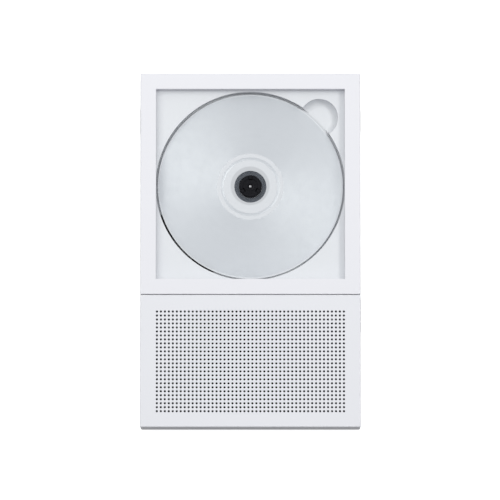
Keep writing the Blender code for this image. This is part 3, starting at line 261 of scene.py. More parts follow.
def make_board_tracks():
    """Tracks, pads and a weave for a circuit board, with everything above its face coloured as parts."""
    group, given, result = surface_group(
        "board_tracks",
        {"Board Top": 0.0, "Mask": MASK_GREEN, "Track": TRACK_GREEN, "Part": CHIP_BLACK},
        {"Colour": "Color", "Roughness": "Float", "Normal": "Vector"},
    )
    place = node_in(group, "TexCoord").outputs["Object"]
    brick = node_in(group, "TexBrick", Vector=place, Scale=1.0)
    for label, value in (
        ("Mortar Size", TRACK_PITCH * 0.24),
        ("Mortar Smooth", 0.1),
        ("Brick Width", TRACK_PITCH * 7),
        ("Row Height", TRACK_PITCH),
        ("Bias", 0.0),
    ):
        brick.inputs[label].default_value = value
    tracks = brick.outputs["Fac"]
    cells = node_in(group, "TexVoronoi", Vector=place, Scale=1 / (TRACK_PITCH * 2.3)).outputs["Distance"]
    pads = spread(group, cells, *PAD_EDGE)
    height = node_in(group, "SeparateXYZ", Vector=place).outputs["Z"]
    above = spread(group, reckon(group, "SUBTRACT", height, given["Board Top"]), *PART_EDGE)
    weave = node_in(group, "TexNoise", Vector=place, Scale=GLASS_THREADS, Detail=2.0).outputs["Fac"]
    mask = colour_mix(group, tracks, given["Mask"], given["Track"])
    tinned = colour_mix(group, pads, mask, TIN)
    shade = reckon(group, "ADD", 0.9, reckon(group, "MULTIPLY", weave, 0.2))
    woven = toned(group, tinned, shade)
    group.links.new(colour_mix(group, above, woven, given["Part"]), result["Colour"])
    dull = reckon(group, "ADD", 0.30, reckon(group, "MULTIPLY", above, 0.25))
    relief = reckon(group, "ADD", tracks, reckon(group, "MULTIPLY", pads, 2.0))
    low = reckon(group, "MULTIPLY", relief, reckon(group, "SUBTRACT", 1.0, above))
    duller = reckon(group, "ADD", dull, reckon(group, "MULTIPLY", weave, 0.1))
    rough_bump(group, result, duller, low, TRACK_HEIGHT)
    return group


board_tracks = make_board_tracks()
for name, node, top in (
    ("printed_board", "main_board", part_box("main_board")[0][2] + BOARD_THICKNESS),
    ("key_printed_board", "key_board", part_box("key_board")[1][2]),
):
    dress(finish_from(name, board_tracks, {"Board Top": top}, {"Coat Weight": 0.3}), node)


# ---------------------------------------------------------------- battery, switches and sockets
# The battery is a soft pouch in a crinkled grey sleeve. The switches and the headphone socket are black nylon
# parts soldered to the boards, and the charging socket is a folded steel shell round a black tongue.
SLEEVE_GREY = (0.22, 0.24, 0.26, 1.0)
NYLON_BLACK = (0.022, 0.022, 0.024, 1.0)
NICKEL = (0.66, 0.65, 0.63, 1.0)
CRINKLE = 0.0016
CRINKLE_DEPTH = 0.00006
METAL_CLOUDS = 180.0  # patches of tone in a metre
METAL_EDGE = 0.00012

sleeve_finish = moulded("battery_sleeve", SLEEVE_GREY, 0.34, CRINKLE, CRINKLE_DEPTH, 0.05, drift=0.12)
dress(sleeve_finish, "battery_pack")
nylon_finish = moulded("black_nylon", NYLON_BLACK, 0.40, 0.0003, 0.000004, wear=0.02, dust_and_shade=0.15, drift=0.2)
dress(nylon_finish, "power_switch", "volume_switch", "headphone_socket")


def make_drawn_metal():
    """Bright metal with fine drawn lines along one axis, a drift of tone and duller patches."""
    group, given, result = surface_group(
        "drawn_metal",
        {
            "Colour": NICKEL,
            "Gloss": 0.25,
            "Line Size": 0.00012,
            "Line Depth": 0.0000015,
            "Stretch": 30.0,
            "Drift": 0.08,
        },
        {"Colour": "Color", "Roughness": "Float", "Normal": "Vector"},
    )
    place = node_in(group, "TexCoord").outputs["Object"]
    axes = node_in(group, "SeparateXYZ", Vector=place).outputs
    long_way = reckon(group, "DIVIDE", axes["X"], given["Stretch"])
    drawn = node_in(group, "CombineXYZ", X=long_way, Y=axes["Y"], Z=axes["Z"]).outputs["Vector"]
    fine = reckon(group, "DIVIDE", 1.0, given["Line Size"])
    lines = node_in(group, "TexNoise", Vector=drawn, Scale=fine, Detail=2.0).outputs["Fac"]
    cloud = node_in(group, "TexNoise", Vector=place, Scale=METAL_CLOUDS, Detail=3.0).outputs["Fac"]
    centred = reckon(group, "SUBTRACT", cloud, 0.5)
    shade = reckon(group, "ADD", 1.0, reckon(group, "MULTIPLY", centred, given["Drift"]))
    group.links.new(toned(group, given["Colour"], shade), result["Colour"])
    dull = reckon(group, "ADD", given["Gloss"], reckon(group, "MULTIPLY", centred, 0.18))
    soft = node_in(group, "Bevel", {"samples": 4}, Radius=METAL_EDGE).outputs["Normal"]
    rough_bump(group, result, dull, lines, given["Line Depth"], Normal=soft)
    return group


drawn_metal = make_drawn_metal()


def metal(name, colour, gloss):
    """A drawn or turned metal finish."""
    return finish_from(name, drawn_metal, {"Colour": colour, "Gloss": gloss}, {"Metallic": 1.0})


dress(metal("nickelled_steel", NICKEL, 0.24), "usb_socket")


# ---------------------------------------------------------------- pickup mechanism
# A black glass-filled nylon chassis hangs on three rubber dampers. A sled carries the lens along two ground
# steel rods, driven by a small motor through a turned screw. The disc's shaft stands on a motor of its own.
CHASSIS_BLACK = (0.030, 0.031, 0.034, 1.0)
SLED_GREY = (0.060, 0.062, 0.068, 1.0)
DAMPER_GREY = (0.045, 0.046, 0.050, 1.0)
GROUND_STEEL = (0.70, 0.70, 0.69, 1.0)
SHAFT_STEEL = (0.40, 0.40, 0.41, 1.0)
LENS_TINT = (0.80, 0.90, 0.97, 1.0)
COATING_BLUE = (0.72, 0.86, 1.0, 1.0)
COATING_CLOUDS = 400.0  # patches of tone in a metre

chassis_finish = moulded("glass_filled_nylon", CHASSIS_BLACK, 0.52, 0.0005, 0.000014, wear=0.03, drift=0.3)
dress(chassis_finish, "mechanism_chassis")
sled_finish = moulded("sled_nylon", SLED_GREY, 0.46, 0.0003, 0.000005, wear=0.03, drift=0.2)
dress(sled_finish, "pickup_sled", "lens_holder")
damper_finish = moulded("damper_rubber", DAMPER_GREY, 0.72, RUBBER_GRAIN, 0.00001, 0.02, dust_and_shade=0.2, drift=0.3)
dress(damper_finish, *[f"damper_{i}" for i in range(1, 4)])
dress(metal("ground_steel", GROUND_STEEL, 0.16), "guide_rod_a", "guide_rod_b", "lead_screw")
dress(metal("turned_shaft", SHAFT_STEEL, 0.26), "spindle_shaft")
dress(metal("motor_can", NICKEL, 0.30), "sled_motor", "spindle_motor")


def make_lens_glass():
    """Moulded clear acrylic with a faint blue coating that drifts a little in tone."""
    material = bpy.data.materials.new("coated_lens")
    material.use_nodes = True
    tree = material.node_tree
    shader = tree.nodes["Principled BSDF"]
    place = node_in(tree, "TexCoord").outputs["Object"]
    cloud = node_in(tree, "TexNoise", Vector=place, Scale=COATING_CLOUDS).outputs["Fac"]
    tint = colour_mix(tree, cloud, LENS_TINT, COATING_BLUE)
    tree.links.new(tint, shader.inputs["Base Color"])
    tree.links.new(spread(tree, cloud, 0.3, 0.7, 0.02, 0.06), shader.inputs["Roughness"])
    shader.inputs["Transmission Weight"].default_value = 1.0
    shader.inputs["IOR"].default_value = 1.49
    return material


dress(make_lens_glass(), "objective_lens")


# ---------------------------------------------------------------- screws
# Small zinc-plated pan-head screws with a cross recess. Eight come up through the rear shell into posts of the
# two front pieces, and three short ones hold the mechanism's dampers down.
ZINC = (0.56, 0.56, 0.57, 1.0)
SCREW_RECESS_ARM = 0.62  # of the head's radius
SCREW_RECESS_WIDTH = 0.2  # of the head's radius
SCREW_RECESS_DEPTH = 0.55  # of the head's height
SCREW_ROUND = 0.00035
THREAD_PITCH = 0.0006
THREAD_DEPTH = 0.00018
SCREW_STEPS = 32
SCREWS = (  # node, piece, count, head height, shank radius, whether the head is up
    ("case_screw", "cross_screw", 8, 0.0014, 0.0012, False),
    ("damper_screw", "damper_cross_screw", 3, 0.001, 0.0013, True),
)

screw_finish = metal("zinc_screw", ZINC, 0.30)


def new_piece(name, shape, materials, body, smooth_below=40):
    """An object from a bmesh, smooth apart from its sharp edges, that moves with a body of the part."""
    bmesh.ops.recalc_face_normals(shape, faces=shape.faces)
    limit = radians(smooth_below)
    for edge in shape.edges:
        edge.smooth = not (edge.is_manifold and edge.calc_face_angle(0.0) > limit)
    for face in shape.faces:
        face.smooth = True
    mesh = bpy.data.meshes.new(name)
    shape.to_mesh(mesh)
    shape.free()
    for material in materials:
        mesh.materials.append(material)
    piece = bpy.data.objects.new(name, mesh)
    bpy.context.scene.collection.objects.link(piece)
    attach(piece, body)
    return piece


def turned(shape, profile, steps, centre=(0.0, 0.0), closed=False):
    """Turns (radius, height) points about an upright axis into shape, and returns its rings of faces."""
    rings = []
    for radius, height in profile:
        if radius == 0:
            rings.append([shape.verts.new((centre[0], centre[1], height))])
            continue
        ring = []
        for step in range(steps):
            angle = 2 * pi * step / steps
            place = (centre[0] + radius * cos(angle), centre[1] + radius * sin(angle), height)
            ring.append(shape.verts.new(place))
        rings.append(ring)
    pairs = list(zip(rings, rings[1:]))
    if closed:
        pairs.append((rings[-1], rings[0]))
    bands = []
    for low, high in pairs:
        band = []
        for step in range(steps):
            after = (step + 1) % steps
            if len(low) == 1:
                corners = (low[0], high[after], high[step])
            elif len(high) == 1:
                corners = (low[step], low[after], high[0])
            else:
                corners = (low[step], low[after], high[after], high[step])
            band.append(shape.faces.new(corners))
        bands.append(band)
    return bands


def join_loops(shape, first, second):
    """A band of faces between two closed loops of the same number of vertices."""
    for i, (a, d) in enumerate(zip(first, second)):
        after = (i + 1) % len(first)
        shape.faces.new((a, first[after], second[after], d))


def cross_outline(arm, half, height):
    """The twelve corners of a cross, anticlockwise."""
    quarter = [(arm, -half), (arm, half), (half, half)]
    corners = []
    for turn in range(4):
        c, s = cos(turn * pi / 2), sin(turn * pi / 2)
        corners += [(x * c - y * s, x * s + y * c, height) for x, y in quarter]
    return corners


def cross_screw(name, axis, face, under, tip, head, shank):
    """A screw along Z, from the face of its head past the head's underside to its tip."""
    facing = 1 if face > tip else -1
    shape = bmesh.new()
    rounding = SCREW_ROUND * facing
    rim = [(head * 0.86, face), (head * 0.96, face - rounding * 0.35), (head, face - rounding), (head, under)]
    thread, height = [(shank, under)], under - facing * THREAD_PITCH
    while (height - tip) * facing > THREAD_PITCH * 2:
        thread += [(shank, height), (shank - THREAD_DEPTH, height - facing * THREAD_PITCH / 2)]
        height -= facing * THREAD_PITCH
    thread += [(shank * 0.8, tip + facing * THREAD_PITCH), (0, tip)]
    turned(shape, rim + thread, SCREW_STEPS)
    outer = [edge for edge in shape.edges if edge.is_boundary]
    arm, half = head * SCREW_RECESS_ARM, head * SCREW_RECESS_WIDTH / 2
    depth = abs(face - under) * SCREW_RECESS_DEPTH * facing
    mouth = [shape.verts.new(p) for p in cross_outline(arm, half, face)]
    floor = [shape.verts.new(p) for p in cross_outline(arm * 0.72, half * 0.6, face - depth)]
    loop = [shape.edges.new(ends) for ends in zip(mouth, mouth[1:] + mouth[:1])]
    bmesh.ops.triangle_fill(shape, use_beauty=True, edges=outer + loop)
    join_loops(shape, mouth, floor)
    shape.faces.new(floor)
    bmesh.ops.translate(shape, vec=(axis[0], axis[1], 0), verts=shape.verts)
    return new_piece(name, shape, [screw_finish], "case", 28)


def middle_of(node):
    """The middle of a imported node's box."""
    low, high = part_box(node)
    return Vector([(a + b) / 2 for a, b in zip(low, high)])


for node, piece, count, head_height, shank, head_up in SCREWS:
    for i in range(1, count + 1):
        low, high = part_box(f"{node}_{i}")
        face, tip = (high[2], low[2]) if head_up else (low[2], high[2])
        under = face - head_height if head_up else face + head_height
        head = (high[0] - low[0]) / 2
        screw = cross_screw(f"{piece}_{i}", middle_of(f"{node}_{i}"), face, under, tip, head, shank)
        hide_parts(f"{node}_{i}")


# ---------------------------------------------------------------- turntable and rubber ring
# The turntable is a small pale grey acetal wheel pressed on the spindle, turned true after moulding.
# A dark rubber ring let into it carries the disc and keeps it from slipping.
TURNTABLE_GREY = (0.42, 0.43, 0.45, 1.0)
RING_BLACK = (0.050, 0.054, 0.062, 1.0)
RING_GROOVE = 0.00045
ACETAL_TURNS = 0.0004
PAD_RINGS = 0.0011
RING_CLOUDS = 260.0  # patches of tone in a metre
disc_axis = middle_of("disc")


def distance_from_axis(tree, across, along):
    """How far a point is from an upright axis, from its two distances across."""
    squares = [reckon(tree, "MULTIPLY", way, way) for way in (across, along)]
    return reckon(tree, "SQRT", reckon(tree, "ADD", *squares))


def make_turned_rings():
    """Fine rings round an upright axis, as turning or moulding in a turned die leaves them."""
    group, given, result = surface_group(
        "turned_rings",
        {
            "Colour": TURNTABLE_GREY,
            "Axis X": 0.0,
            "Axis Y": 0.0,
            "Ring Pitch": RING_GROOVE,
            "Ring Depth": 0.00002,
            "Gloss": 0.4,
            "Drift": 0.06,
        },
        {"Colour": "Color", "Roughness": "Float", "Normal": "Vector"},
    )
    place = node_in(group, "TexCoord").outputs["Object"]
    axes = node_in(group, "SeparateXYZ", Vector=place).outputs
    across = reckon(group, "SUBTRACT", axes["X"], given["Axis X"])
    along = reckon(group, "SUBTRACT", axes["Y"], given["Axis Y"])
    radius = distance_from_axis(group, across, along)
    turns = reckon(group, "DIVIDE", radius, given["Ring Pitch"])
    wave = reckon(group, "SINE", reckon(group, "MULTIPLY", turns, 2 * pi))
    one_way = {"noise_dimensions": "1D"}
    uneven = node_in(group, "TexNoise", one_way, W=turns, Scale=0.7, Detail=2.0).outputs["Fac"]
    cloud = node_in(group, "TexNoise", Vector=place, Scale=RING_CLOUDS, Detail=2.0).outputs["Fac"]
    slow = reckon(group, "SUBTRACT", cloud, 0.5)
    uneven_rings = reckon(group, "MULTIPLY", reckon(group, "SUBTRACT", uneven, 0.5), 1.4)
    swing = reckon(group, "MULTIPLY", reckon(group, "ADD", uneven_rings, slow), given["Drift"])
    group.links.new(toned(group, given["Colour"], reckon(group, "ADD", 1.0, swing)), result["Colour"])
    dull = reckon(group, "ADD", given["Gloss"], reckon(group, "MULTIPLY", slow, 0.12))
    rough_bump(group, result, dull, wave, given["Ring Depth"])
    return group


turned_rings = make_turned_rings()


def ringed(name, colour, axis, pitch, depth, gloss, plain, drift=0.06):
    """A finish with fine rings round an upright axis."""
    values = {
        "Colour": colour,
        "Axis X": axis[0],
        "Axis Y": axis[1],
        "Ring Pitch": pitch,
        "Ring Depth": depth,
        "Gloss": gloss,
        "Drift": drift,
    }
    return finish_from(name, turned_rings, values, plain)


acetal_finish = ringed("turned_acetal", TURNTABLE_GREY, disc_axis, ACETAL_TURNS, 0.000004, 0.42, {"IOR": 1.48})
dress(acetal_finish, "turntable")
dress(ringed("ringed_rubber", RING_BLACK, disc_axis, PAD_RINGS, 0.00006, 0.55, {}, 0.8), "turntable_pad")


# ---------------------------------------------------------------- speakers and dust cloth
# Two flat drivers with steel baskets, ferrite magnets and pulp cones, behind one sheet of black acoustic
# cloth that is glued to the back of the speaker panel.
CONE_BLACK = (0.028, 0.027, 0.026, 1.0)
BASKET_BLACK = (0.035, 0.035, 0.038, 1.0)
FERRITE_GREY = (0.050, 0.050, 0.055, 1.0)
CLOTH_BLACK = (0.007, 0.007, 0.008, 1.0)
CONE_RINGS = 0.0011
THREAD_SPACING = 0.00035
THREAD_HEIGHT = 0.00008
CLOTH_COLUMNS = 60
CLOTH_ROWS = 32
GLUE_LINES = 6
CLOTH_BODY = 0.00025
CLOTH_DIP = 0.00012

for side in ("left", "right"):
    middle = middle_of(f"speaker_cone_{side}")
    cone_finish = ringed(f"pulp_cone_{side}", CONE_BLACK, middle, CONE_RINGS, 0.00008, 0.85, {}, 0.5)
    dress(cone_finish, f"speaker_cone_{side}")
basket_finish = moulded("painted_basket", BASKET_BLACK, 0.38, 0.0004, 0.00001, wear=0.03, drift=0.2)
dress(basket_finish, "speaker_basket_left", "speaker_basket_right")
ferrite_finish = moulded("fired_ferrite", FERRITE_GREY, 0.66, 0.0003, 0.00001, wear=0.04, drift=0.35)
dress(ferrite_finish, "speaker_magnet_left", "speaker_magnet_right")


def make_plain_weave():
    """Plain woven cloth: two sets of threads that pass over and under each other, painted darker where they
    dip.
    """
    group, given, result = surface_group(
        "plain_weave",
        {"Colour": CLOTH_BLACK, "Thread Spacing": THREAD_SPACING, "Thread Height": THREAD_HEIGHT},
        {"Colour": "Color", "Roughness": "Float", "Normal": "Vector"},
    )
    axes = node_in(group, "SeparateXYZ", Vector=node_in(group, "TexCoord").outputs["Object"]).outputs
    waves = []
    for axis in ("X", "Y"):
        turns = reckon(group, "MULTIPLY", reckon(group, "DIVIDE", axes[axis], given["Thread Spacing"]), pi)
        waves.append(reckon(group, "SINE", turns))
    over = reckon(group, "MULTIPLY", waves[0], waves[1])
    lift = reckon(group, "ABSOLUTE", over)
    # The colour is darker where the threads dip between crossings: painted shade.
    shade = reckon(group, "ADD", 0.6, reckon(group, "MULTIPLY", lift, 0.9))
    group.links.new(toned(group, given["Colour"], shade), result["Colour"])
    dull = reckon(group, "SUBTRACT", 0.95, reckon(group, "MULTIPLY", lift, 0.1))
    rough_bump(group, result, dull, lift, given["Thread Height"])
    return group


def make_dust_cloth():
    """One cut sheet, pulled tight, that dips a little between the lines of glue."""
    low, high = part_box("dust_cloth")
    width, length = high[0] - low[0], high[1] - low[1]
    shape = bmesh.new()
    grids = []
    for height in (high[2], high[2] - CLOTH_BODY):
        grid = []
        for row in range(CLOTH_ROWS + 1):
            line = []
            for column in range(CLOTH_COLUMNS + 1):
                across, along = column / CLOTH_COLUMNS, row / CLOTH_ROWS
                dip = CLOTH_DIP * abs(sin(pi * GLUE_LINES * across)) * sin(pi * along)
                line.append(shape.verts.new((low[0] + width * across, low[1] + length * along, height - dip)))
            grid.append(line)
        grids.append(grid)
    outlines = []
    for grid in grids:
        for near, far in zip(grid, grid[1:]):
            for a, b, c, d in zip(near, near[1:], far[1:], far):
                shape.faces.new((a, b, c, d))
        right = [line[-1] for line in grid]
        left = [line[0] for line in reversed(grid)]
        outlines.append([*grid[0], *right[1:], *reversed(grid[-1][:-1]), *left[1:-1]])
    join_loops(shape, *outlines)
    finish = finish_from("acoustic_cloth", make_plain_weave(), {}, {"Sheen Weight": 0.2})
    cloth = new_piece("acoustic_cloth", shape, [finish], "case", 60)
    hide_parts("dust_cloth")


make_dust_cloth()


# ---------------------------------------------------------------- well plate and disc frame
# The well plate is the white deck under the disc, and the disc frame is the square front moulding round it.
# Both are moulded in the shell's white. The plate is smoother, and its colour is made a shade greyer:
# painted shade for its place sunk inside the frame.
SHADED_DECK_WHITE = (0.742, 0.757, 0.787, 1.0)
FRONT_WHITE = (0.816, 0.812, 0.854, 1.0)

dress(moulded("shaded_deck_white", SHADED_DECK_WHITE, 0.40, 0.0002, 0.0000015, wear=0.10, dust_and_shade=0.05), "well_plate")
dress(moulded("front_white", FRONT_WHITE, 0.46, wear=0.14), "disc_frame")


# ---------------------------------------------------------------- speaker panel
# One white moulding with 48 columns and 26 rows of round holes, each with a small countersink.
# Four posts on its back take the screws that come up through the rear shell.
PANEL_WHITE = (0.797, 0.798, 0.836, 1.0)
HOLE_COLUMNS = 48
HOLE_ROWS = 26
COLUMN_PITCH = 0.0025625
ROW_PITCH = 0.0025745
HOLE_RADIUS = 0.00071
COUNTERSINK = 0.00008
HOLE_STEPS = 16
PANEL_WALL = 0.002
PANEL_CORNER = 0.0008
CORNER_STEPS = 5
PANEL_EDGE = 0.0005
GRILLE_SHIFT = -0.00030
POST_RADIUS = 0.0027
POST_BORE = 0.0009
POST_STEPS = 24

panel_low, panel_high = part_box("speaker_panel")
panel_middle = middle_of("speaker_panel")
grille_y = panel_middle.y + GRILLE_SHIFT
grille_x = [(column - HOLE_COLUMNS / 2) * COLUMN_PITCH for column in range(HOLE_COLUMNS + 1)]
grille_rows = [grille_y + (row - HOLE_ROWS / 2) * ROW_PITCH for row in range(HOLE_ROWS + 1)]


def halved(stops):
    """The same stops with one more in the middle of each gap."""
    found = [stops[0]]
    for a, b in zip(stops, stops[1:]):
        found += [(a + b) / 2, b]
    return found


def panel_ring(shape, inset, height, corner):
    """One loop round the panel, with a vertex in line with each stop of the grille and rounded corners."""
    low_x, high_x = panel_low[0] + inset, panel_high[0] - inset
    low_y, high_y = panel_low[1] + inset, panel_high[1] - inset
    across, up = halved(grille_x), halved(grille_rows)
    corners = ((high_x, low_y, -90), (high_x, high_y, 0), (low_x, high_y, 90), (low_x, low_y, 180))
    sides = (
        [(x, low_y) for x in across],
        [(high_x, y) for y in up],
        [(x, high_y) for x in reversed(across)],
        [(low_x, y) for y in reversed(up)],
    )
    points = []
    for side, (x, y, start) in zip(sides, corners):
        points += side
        centre_x = x - copysign(corner, x - panel_middle.x)
        centre_y = y - copysign(corner, y - panel_middle.y)
        for step in range(CORNER_STEPS):
            angle = radians(start + step * 90 / (CORNER_STEPS - 1))
            points.append((centre_x + corner * cos(angle), centre_y + corner * sin(angle)))
    return [shape.verts.new((x, y, height)) for x, y in points]


def perforate(shape, top, under):
    """The holes between two faces of the panel, and the outlines that the faces' plain borders start from."""
    found = {}

    def corner(x, y, z):
        key = (round(x * 1e7), round(y * 1e7), round(z * 1e7))
        if key not in found:
            found[key] = shape.verts.new((x, y, z))
        return found[key]

    for left, right in zip(grille_x, grille_x[1:]):
        for low, high in zip(grille_rows, grille_rows[1:]):
            x, y = (left + right) / 2, (low + high) / 2
            right_side = [(right, low), (right, y), (right, high)]
            left_side = [(left, high), (left, y), (left, low)]
            border = [*right_side, (x, high), *left_side, (x, low)]
            rims = []
            for radius, height in (
                (HOLE_RADIUS + COUNTERSINK, top),
                (HOLE_RADIUS, top - COUNTERSINK),
                (HOLE_RADIUS, under),
            ):
                rim = []
                for step in range(HOLE_STEPS):
                    angle = 2 * pi * step / HOLE_STEPS - pi / 4
                    rim.append(shape.verts.new((x + radius * cos(angle), y + radius * sin(angle), height)))
                rims.append(rim)
            for rim, z in ((rims[0], top), (rims[2], under)):
                for side in range(len(border)):
                    after = (side + 1) % len(border)
                    ends = (corner(*border[side], z), corner(*border[after], z))
                    inner = [rim[(2 * side + k) % HOLE_STEPS] for k in (2, 1, 0)]
                    shape.faces.new((*ends, *inner) if z == top else tuple(reversed((*ends, *inner))))
            for upper, lower in zip(rims, rims[1:]):
                join_loops(shape, upper, lower)
    across, up = halved(grille_x), halved(grille_rows)
    loops = []
    for z in (top, under):
        loops.append(
            (
                [corner(x, up[0], z) for x in across],
                [corner(across[-1], y, z) for y in up],
                [corner(x, up[-1], z) for x in reversed(across)],
                [corner(across[0], y, z) for y in reversed(up)],
            )
        )
    return loops


def border_faces(shape, loop, ring, upward):
    """The plain border between the grille's outline and a ring round it."""
    start = 0
    for side in loop:
        corner_start = start + len(side)
        outer = ring[start:corner_start]
        for a, b, c, d in zip(side, side[1:], outer[1:], outer):
            shape.faces.new((a, d, c, b) if upward else (a, b, c, d))
        start = corner_start + CORNER_STEPS
        patch = (side[-1], outer[-1], *ring[corner_start:start], ring[start % len(ring)])
        shape.faces.new(patch if upward else tuple(reversed(patch)))


def make_speaker_panel():
    """The perforated face, its rounded edge, the walls round its back and the screw posts."""
    shape = bmesh.new()
    top, base = panel_high[2], panel_low[2]
    under = top - PANEL_WALL
    upper_loop, lower_loop = perforate(shape, top, under)
    rings = [panel_ring(shape, PANEL_CORNER * 0.9, top, PANEL_CORNER * 0.1)]
    for angle in (90, 60, 30, 0):
        inset = PANEL_EDGE * (1 - cos(radians(angle)))
        drop = PANEL_EDGE * (1 - sin(radians(angle)))
        rings.append(panel_ring(shape, inset, top - drop, PANEL_CORNER - inset))
    rings.append(panel_ring(shape, 0, top - PANEL_EDGE * 1.5, PANEL_CORNER))
    rings.append(panel_ring(shape, 0, base, PANEL_CORNER))
    rings.append(panel_ring(shape, PANEL_WALL, base, PANEL_CORNER * 0.4))
    rings.append(panel_ring(shape, PANEL_WALL, under, PANEL_CORNER * 0.4))
    for first, second in zip(rings, rings[1:]):
        join_loops(shape, second, first)
    border_faces(shape, upper_loop, rings[0], True)
    border_faces(shape, lower_loop, rings[-1], False)
    for i in range(5, 9):
        axis = middle_of(f"case_screw_{i}")
        profile = [
            (POST_RADIUS, base),
            (POST_RADIUS, under + PANEL_WALL / 10),
            (POST_BORE, under + PANEL_WALL / 10),
            (POST_BORE, base),
        ]
        turned(shape, profile, POST_STEPS, axis, closed=True)
    finish = moulded("panel_white", PANEL_WHITE, 0.46, wear=0.14)
    panel = new_piece("perforated_panel", shape, [finish], "case")
    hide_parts("speaker_panel")


make_speaker_panel()


# ---------------------------------------------------------------- hub cap and claws
# A black acetal cap on the spindle centres the disc and holds it with three sprung claws.
# Six short ribs brace its rim, and the polished end of the shaft shows in its middle.
HUB_BLACK = (0.0075, 0.0075, 0.010, 1.0)
CAP_STEPS = 96
CAP_CHAMFER = 0.0009
CAP_DISH = 0.00045
SHAFT_HOLE = 0.0013
COLLAR_RADIUS = 0.0030
RIM_WIDTH = 0.0016
RIB_COUNT = 6
RIB_WIDTH = 0.0006
CLAW_COUNT = 3
CLAW_SLOT = 0.0026
CLAW_SLOT_DEPTH = 0.0032
CLAW_SLOT_FLOOR = 0.0003  # height of the slot's floor over the cap's base
CAP_EASE = 0.0001
RIB_LAP = 0.0002
CAP_SPECULAR = 0.10
PROFILE_GUARD = 0.00005


def guarded(profile):
    """The same profile with a point near both ends of each long stretch, so that flat bands shade flat."""
    points = []
    for (radius, height), (after_radius, after_height) in zip(profile, profile[1:]):
        points.append((radius, height))
        length = hypot(after_radius - radius, after_height - height)
        if length > 8 * PROFILE_GUARD:
            for share in (PROFILE_GUARD / length, 1 - PROFILE_GUARD / length):
                near = radius + (after_radius - radius) * share
                points.append((near, height + (after_height - height) * share))
    return [*points, profile[-1]]


def turned_boxes(shape, count, first, size, middle):
    """Like boxes set evenly round the disc's axis, each the same size and with its middle as far out."""
    for i in range(count):
        made = bmesh.ops.create_cube(shape, size=1.0)["verts"]
        bmesh.ops.scale(shape, vec=size, verts=made)
        bmesh.ops.translate(shape, vec=(middle[0], 0, middle[1]), verts=made)
        turn = Matrix.Rotation(radians(first) + i * 2 * pi / count, 4, "Z")
        to_axis = Matrix.Translation((disc_axis.x, disc_axis.y, 0))
        bmesh.ops.transform(shape, matrix=to_axis @ turn, verts=made)


def make_hub_cap():
    """The turned cap with its ribs, cut open where the claws stand."""
    low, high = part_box("hub_cap")
    base, top = low[2], high[2]
    radius = (high[0] - low[0]) / 2
    rim = radius - CAP_CHAMFER
    profile = [
        (SHAFT_HOLE, base),
        (radius - CAP_EASE, base),
        (radius, base + CAP_EASE),
        (radius, top - CAP_CHAMFER * 1.1),
        (radius - CAP_CHAMFER * 0.25, top - CAP_CHAMFER * 0.45),
        (rim, top),
        (rim - RIM_WIDTH * 0.7, top),
        (rim - RIM_WIDTH, top - CAP_DISH * 0.5),
        (rim - RIM_WIDTH - CAP_EASE, top - CAP_DISH),
        (COLLAR_RADIUS + CAP_EASE, top - CAP_DISH),
        (COLLAR_RADIUS, top - CAP_DISH * 0.4),
        (COLLAR_RADIUS - 4 * CAP_EASE, top - CAP_EASE),
        (2 * SHAFT_HOLE, top - CAP_EASE),
        (SHAFT_HOLE * 1.25, top - CAP_DISH * 0.8),
        (SHAFT_HOLE, top - CAP_DISH * 1.2),
    ]
    shape = bmesh.new()
    turned(shape, guarded(profile), CAP_STEPS, disc_axis, closed=True)
    length = rim - RIM_WIDTH - COLLAR_RADIUS + 2 * RIB_LAP
    rib = (COLLAR_RADIUS + length / 2 - RIB_LAP, top - CAP_DISH * 0.75)
    turned_boxes(shape, RIB_COUNT, 30, (length, RIB_WIDTH, CAP_DISH), rib)
    finish = moulded("black_acetal", HUB_BLACK, 0.42, 0.0003, 0.000002, wear=0.01, dust_and_shade=0.02, drift=0.2)
    finish.node_tree.nodes["Principled BSDF"].inputs["Specular IOR Level"].default_value = CAP_SPECULAR
    cap = new_piece("spindle_cap", shape, [finish], "spindle", 30)
    slots = bmesh.new()
    slot_size = (2 * CLAW_SLOT_DEPTH, CLAW_SLOT, 2 * (top - base))
    turned_boxes(slots, CLAW_COUNT, 90, slot_size, (radius, top + CLAW_SLOT_FLOOR))
    mesh = bpy.data.meshes.new("claw_slots")
    slots.to_mesh(mesh)
    slots.free()
    cutter = bpy.data.objects.new("claw_slots", mesh)
    bpy.context.scene.collection.objects.link(cutter)
    cutting = cap.modifiers.new("claw_slots", "BOOLEAN")
    cutting.operation = "DIFFERENCE"
    cutting.solver = "EXACT"
    cutting.use_self = True
    cutting.object = cutter
    graph = bpy.context.evaluated_depsgraph_get()
    cut = bpy.data.meshes.new_from_object(cap.evaluated_get(graph))
    cap.modifiers.clear()
    cut.materials.clear()
    cut.materials.append(finish)
    cap.data = cut
    bpy.data.objects.remove(cutter)
    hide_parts("hub_cap")
    dress(finish, *[f"hub_claw_{i}" for i in range(1, CLAW_COUNT + 1)])


make_hub_cap()


# ---------------------------------------------------------------- side controls
# The slider, the rocker and the three keys are moulded in a light grey and polished where fingers touch.
# They stand in openings of the shell's sides, each in front of its own switch or board.
CONTROL_GREY = (0.56, 0.565, 0.575, 1.0)

control_finish = moulded("control_grey", CONTROL_GREY, 0.36, 0.00018, 0.0000015, wear=0.2, dust_and_shade=0.12)
dress(control_finish, "power_slider", "volume_rocker", "key_forward", "key_play", "key_back")
